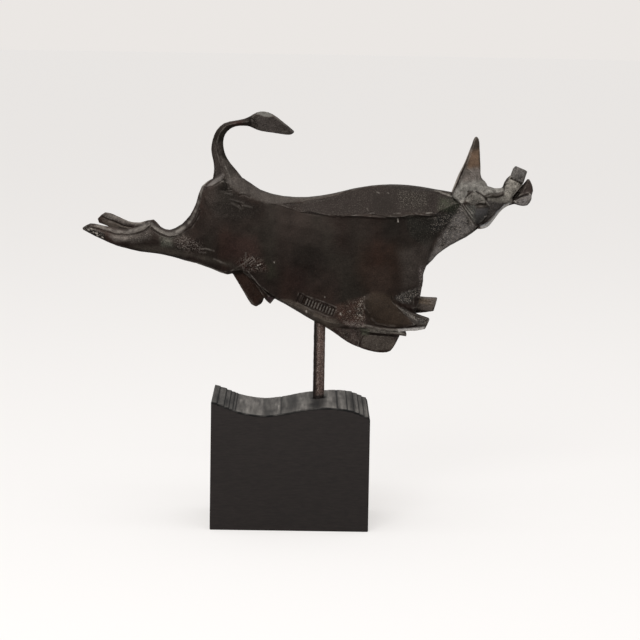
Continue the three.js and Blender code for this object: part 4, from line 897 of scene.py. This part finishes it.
# Pieces.
def bronze_piece(frame):
    """The bull, finely meshed from its solid, with its relief and its patina."""
    piece = new_object("bronze_bull", frame["nodes"]["bull"].data.copy())
    modified(piece, "REMESH", mode="VOXEL", voxel_size=VOXEL * MM)
    mesh = piece.data
    points = points_of(mesh)
    for _ in range(SMOOTHINGS):
        points = points * 0.5 + neighbour_mean(mesh, points) * 0.5
    points = shifted(points, normals_of(mesh))
    put_points(mesh, points)
    points = carve(points, normals_of(mesh))
    put_points(mesh, points)
    around = points
    for _ in range(EDGE_REACH):
        around = neighbour_mean(mesh, around)
    put_attribute(mesh, "convex", np.sum((points - around) * normals_of(mesh), axis=1))
    triangles = sum(len(polygon.vertices) - 2 for polygon in mesh.polygons)
    modified(piece, "DECIMATE", ratio=min(1.0, MOST_TRIANGLES / triangles))
    mesh = piece.data
    convex = np.empty(len(mesh.vertices), np.float32)
    mesh.attributes["convex"].data.foreach_get("value", convex)
    colours, specks = patina(points_of(mesh), normals_of(mesh), convex)
    put_colours(mesh, "patina", colours)
    put_attribute(mesh, "specks", specks)
    finish_piece(piece, bronze_material(), "bull")


def finish_piece(piece, material, node):
    """Gives a piece its material, and puts it in the place of the solid that it stands for."""
    piece.data.materials.clear()
    piece.data.materials.append(material)
    piece.data.shade_smooth()
    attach(piece, "root")
    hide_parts(node)


def skinned(rings, closed=True):
    """A mesh over rings of points in millimetres, with its ends filled."""
    rings = np.asarray(rings, float)
    count, sides = rings.shape[:2]
    index = np.arange(count * sides).reshape(count, sides)
    turned = np.roll(index, -1, axis=1)
    faces = np.stack([index[:-1], turned[:-1], turned[1:], index[1:]], axis=-1).reshape(-1, 4)
    caps = [index[0][::-1].tolist(), index[-1].tolist()] if closed else []
    mesh = bpy.data.meshes.new("skin")
    mesh.from_pydata((rings.reshape(-1, 3) * MM).tolist(), [], faces.tolist() + caps)
    solid = bmesh.new()
    solid.from_mesh(mesh)
    bmesh.ops.recalc_face_normals(solid, faces=solid.faces)
    solid.to_mesh(mesh)
    solid.free()
    return mesh


def rod_piece(frame):
    """The rod, with a hammered surface, a painted highlight down its front and right side, and painted shade
    on its left side and round its foot.
    """
    floor = crest_of(frame["nodes"]["block"])(ROD["x"])
    heights = np.linspace(ROD["foot"], ROD["top"], ROD_STEPS)
    angles = np.linspace(0, 2 * np.pi, ROD_SIDES, endpoint=False)
    level, angle = np.meshgrid(heights, angles, indexing="ij")
    out = np.stack([np.cos(angle), np.sin(angle), np.zeros_like(angle)], axis=-1).reshape(-1, 3)
    centre = np.stack([np.full(level.size, ROD["x"]), np.full(level.size, ROD["y"]), level.ravel()], axis=1)
    smooth = centre + out * ROD["radius"]
    dents = 0.1 * rough_noise(smooth, 2.2, 51) - 0.12
    rings = (smooth + out * dents[:, None]).reshape(ROD_STEPS, ROD_SIDES, 3)
    piece = new_object("rough_rod", skinned(rings))
    # A painted highlight runs down the rod's front, and its right side is painted lighter.
    forward = out @ np.array([-0.25, -0.97, 0])
    put_attribute(piece.data, "sheen", 0.6 * ease(0.9, 0.98, forward) + 0.4 * ease(0.1, 0.6, out[:, 0]))
    # Its left side is painted dark as shade, and so is its foot, where it goes into the block.
    foot = 0.9 * ease(floor + 4, floor + 1.5, level.ravel())
    put_attribute(piece.data, "dark", np.maximum(0.85 * ease(-0.1, -0.7, out[:, 0]), foot))
    finish_piece(piece, rod_material(), "rod")


def crest_of(block):
    """The height of the block's wavy top at each x, from its solid."""
    points = points_of(block.data)
    tops = points[points[:, 2] > 90]
    x = np.unique(tops[:, 0].round(2))
    z = [tops[np.abs(tops[:, 0] - at) < 0.01, 2].max() for at in x]
    return lambda place: np.interp(place, x, z)


def saw_marks(x, crest):
    """How far the saw's steps stand proud at each x, and how dark its cuts are."""
    lift, cuts_and_shade = np.zeros_like(x), np.zeros_like(x)
    for steps in (LEFT_STEPS, RIGHT_STEPS):
        for start, end in zip(steps[:-1], steps[1:]):
            share = (x - start) / (end - start)
            drop = crest(start) - crest(end)
            lift += np.where((share > 0) & (share < 1), STEP_RISE * drop * share, 0)
            cuts_and_shade = np.maximum(cuts_and_shade, ease(STEP_EDGE, 0, np.abs(x - end)))
    for place, width, depth in SAW_CUTS:
        groove = ease(width, 0, np.abs(x - place))
        lift -= 0.4 * depth * groove
        cuts_and_shade = np.maximum(cuts_and_shade, depth * groove)
    return lift, cuts_and_shade


def top_wear(places):
    """How light the block's sawn top is at each place."""
    x, y, _ = places.T
    wear = np.interp(x, *np.transpose(TOP_TONES))
    for middle_x, middle_y, half_width, half_length, change in TOP_PATCHES:
        wear += change * np.exp(-(((x - middle_x) / half_width) ** 2) - ((y - middle_y) / half_length) ** 2)
    streaks = 0.5 * rough_noise(places * (1, 0.12, 0), 2.2, 71) + 0.3 * noise(places * (1, 0.5, 0), 5, 72)
    return np.clip(wear * (1 + streaks), 0, 1)


def block_piece(frame):
    """The block, with the saw's marks across its wavy top."""
    crest = crest_of(frame["nodes"]["block"])
    low, high = (np.array(corner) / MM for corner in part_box("block"))
    arris = BLOCK["arris"]
    turns = np.linspace(0, np.pi / 2, 4)
    across = np.linspace(-high[1] + arris, high[1] - arris, BLOCK["lines"])
    x = np.linspace(low[0], high[0], BLOCK["sections"])
    lift, cuts_and_shade = saw_marks(x, crest)
    rings = []
    for place, raised in zip(x, lift):
        inset = arris * (1 - np.sqrt(1 - (1 - min(1, min(place - low[0], high[0] - place) / arris)) ** 2))
        side, foot, top = high[1] - inset, low[2] + inset, crest(place) + raised - inset
        corner = [(side - arris + arris * math.sin(t), foot + arris - arris * math.cos(t)) for t in turns]
        brow = [(side - arris + arris * math.cos(t), top - arris + arris * math.sin(t)) for t in turns]
        far = corner + [(side, top - arris - 1.3), (side, top - arris - 0.6)] + brow
        ring = far + [(y, top) for y in across[::-1][1:-1]] + [(-y, z) for y, z in far[::-1]]
        rings.append([(place, y, z) for y, z in ring])
    rings = np.array(rings)
    is_top = np.zeros(rings.shape[:2])
    is_top[:, 9:92] = 1
    wander = noise(rings.reshape(-1, 3) * (1, 0.05, 0), 1.6, 61).reshape(is_top.shape)
    back = np.clip(0.5 + rings[:, :, 1] / (2 * high[1]), 0, 1)
    rise = BACK_RISE["rise"] * ease(BACK_RISE["from"], BACK_RISE["full"], rings[:, :, 0]) * back
    rings[:, :, 2] += (SAW_GRAIN * wander + rise) * is_top
    gap = np.hypot(rings[:, :, 0] - ROD["x"], rings[:, :, 1] - ROD["y"])
    # The top is dark in the saw's cuts, and painted with shade round the rod's foot.
    dark = np.maximum(cuts_and_shade[:, None], ease(8.5, ROD["radius"] + 0.5, gap)) * is_top
    # A dark line is painted along the top's front edge, as the shadow line at its arris.
    dark[:, 89:93] = np.clip(0.8 + 0.5 * noise(rings[:, 89], 5, 73), 0, 1)[:, None]
    # Both ends have a plain ring just inside their rim, which keeps the top's look off their faces.
    plain = [ring + (ring.mean(axis=0) - ring) * (0, 0.01, 0.01) for ring in (rings[0], rings[-1])]
    rings = np.concatenate([plain[:1], rings, plain[1:]])
    is_top, dark = np.pad(is_top, ((1, 1), (0, 0))), np.pad(dark, ((1, 1), (0, 0)))
    piece = new_object("sawn_block", skinned(rings))
    put_attribute(piece.data, "sawn", is_top.ravel())
    put_attribute(piece.data, "cuts_and_shade", dark.ravel())
    put_attribute(piece.data, "tone_share", top_wear(rings.reshape(-1, 3)))
    finish_piece(piece, wood_material(), "block")


# The stage, the lights and the camera.
def stage():
    """A pale floor that glows like a lit table and runs to the horizon, and a plain backdrop."""
    bpy.ops.mesh.primitive_plane_add(size=FLOOR_SIZE)
    floor = bpy.context.object
    floor.name = "floor"
    floor.visible_glossy = False
    paper, _, main = shader("paper")
    main.inputs["Base Color"].default_value = (*PAPER, 1)
    main.inputs["Roughness"].default_value = 1.0
    main.inputs["Specular IOR Level"].default_value = 0.0
    main.inputs["Emission Color"].default_value = (*PAPER_GLOW, 1)
    main.inputs["Emission Strength"].default_value = 1.0
    floor.data.materials.append(paper)
    bpy.ops.mesh.primitive_uv_sphere_add(radius=FLOOR_SIZE * 0.49, segments=48, ring_count=24)
    backdrop = bpy.context.object
    backdrop.name = "backdrop"
    for kind in ("diffuse", "glossy", "shadow", "transmission", "volume_scatter"):
        setattr(backdrop, "visible_" + kind, False)
    glow, tree, main = shader("backdrop")
    main.inputs["Base Color"].default_value = (0, 0, 0, 1)
    main.inputs["Specular IOR Level"].default_value = 0.0
    main.inputs["Emission Color"].default_value = (*BACKDROP, 1)
    main.inputs["Emission Strength"].default_value = 1.0
    backdrop.data.materials.append(glow)


def camera():
    data = bpy.data.cameras.new("camera")
    data.sensor_width = 36
    data.lens = CAMERA["lens"]
    view = bpy.data.objects.new("camera", data)
    turn = (
        Matrix.Rotation(-math.radians(CAMERA["right"]), 4, "Z")
        @ Matrix.Rotation(math.radians(90 - CAMERA["down"]), 4, "X")
        @ Matrix.Rotation(math.radians(CAMERA["roll"]), 4, "Z")
    )
    view.matrix_world = Matrix.Translation([v * MM for v in CAMERA["place"]]) @ turn
    bpy.context.scene.collection.objects.link(view)
    bpy.context.scene.camera = view


def light(name, place, size, power, aim=(0, 0, 0.23)):
    data = bpy.data.lights.new(name, "AREA")
    data.shape = "RECTANGLE"
    data.size, data.size_y = size
    data.energy = power
    lamp = bpy.data.objects.new(name, data)
    away = Matrix.Translation(place).to_translation() - Matrix.Translation(aim).to_translation()
    lamp.matrix_world = Matrix.Translation(place) @ away.to_track_quat("Z", "Y").to_matrix().to_4x4()
    bpy.context.scene.collection.objects.link(lamp)


def surroundings():
    """A dim room under a large bright ceiling of soft light."""
    world = bpy.data.worlds.new("studio")
    world.use_nodes = True
    tree = world.node_tree
    coordinates = tree.nodes.new("ShaderNodeTexCoord")
    split = tree.nodes.new("ShaderNodeSeparateXYZ")
    ramp = tree.nodes.new("ShaderNodeValToRGB")
    tree.links.new(coordinates.outputs["Generated"], split.inputs[0])
    height = tree.nodes.new("ShaderNodeMapRange")
    height.inputs["From Min"].default_value = -1
    tree.links.new(split.outputs["Z"], height.inputs["Value"])
    tree.links.new(height.outputs[0], ramp.inputs[0])
    while len(ramp.color_ramp.elements) < len(CEILING):
        ramp.color_ramp.elements.new(0.5)
    for element, (at, brightness) in zip(ramp.color_ramp.elements, CEILING):
        element.position = (at + 1) / 2
        element.color = (brightness, brightness * 0.985, brightness * 0.97, 1)
    back = tree.nodes["Background"]
    tree.links.new(ramp.outputs[0], back.inputs["Color"])
    back.inputs["Strength"].default_value = CEILING_STRENGTH
    bpy.context.scene.world = world
    bpy.context.scene.view_settings.view_transform = "Standard"


def main():
    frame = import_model()
    camera()
    surroundings()
    stage()
    light("above", (0, -0.4, 2.5), (1.6, 1.6), 18)
    light("window", (-0.5, -1.8, 1.3), (0.9, 0.9), 20)
    bronze_piece(frame)
    rod_piece(frame)
    block_piece(frame)
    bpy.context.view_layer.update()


main()
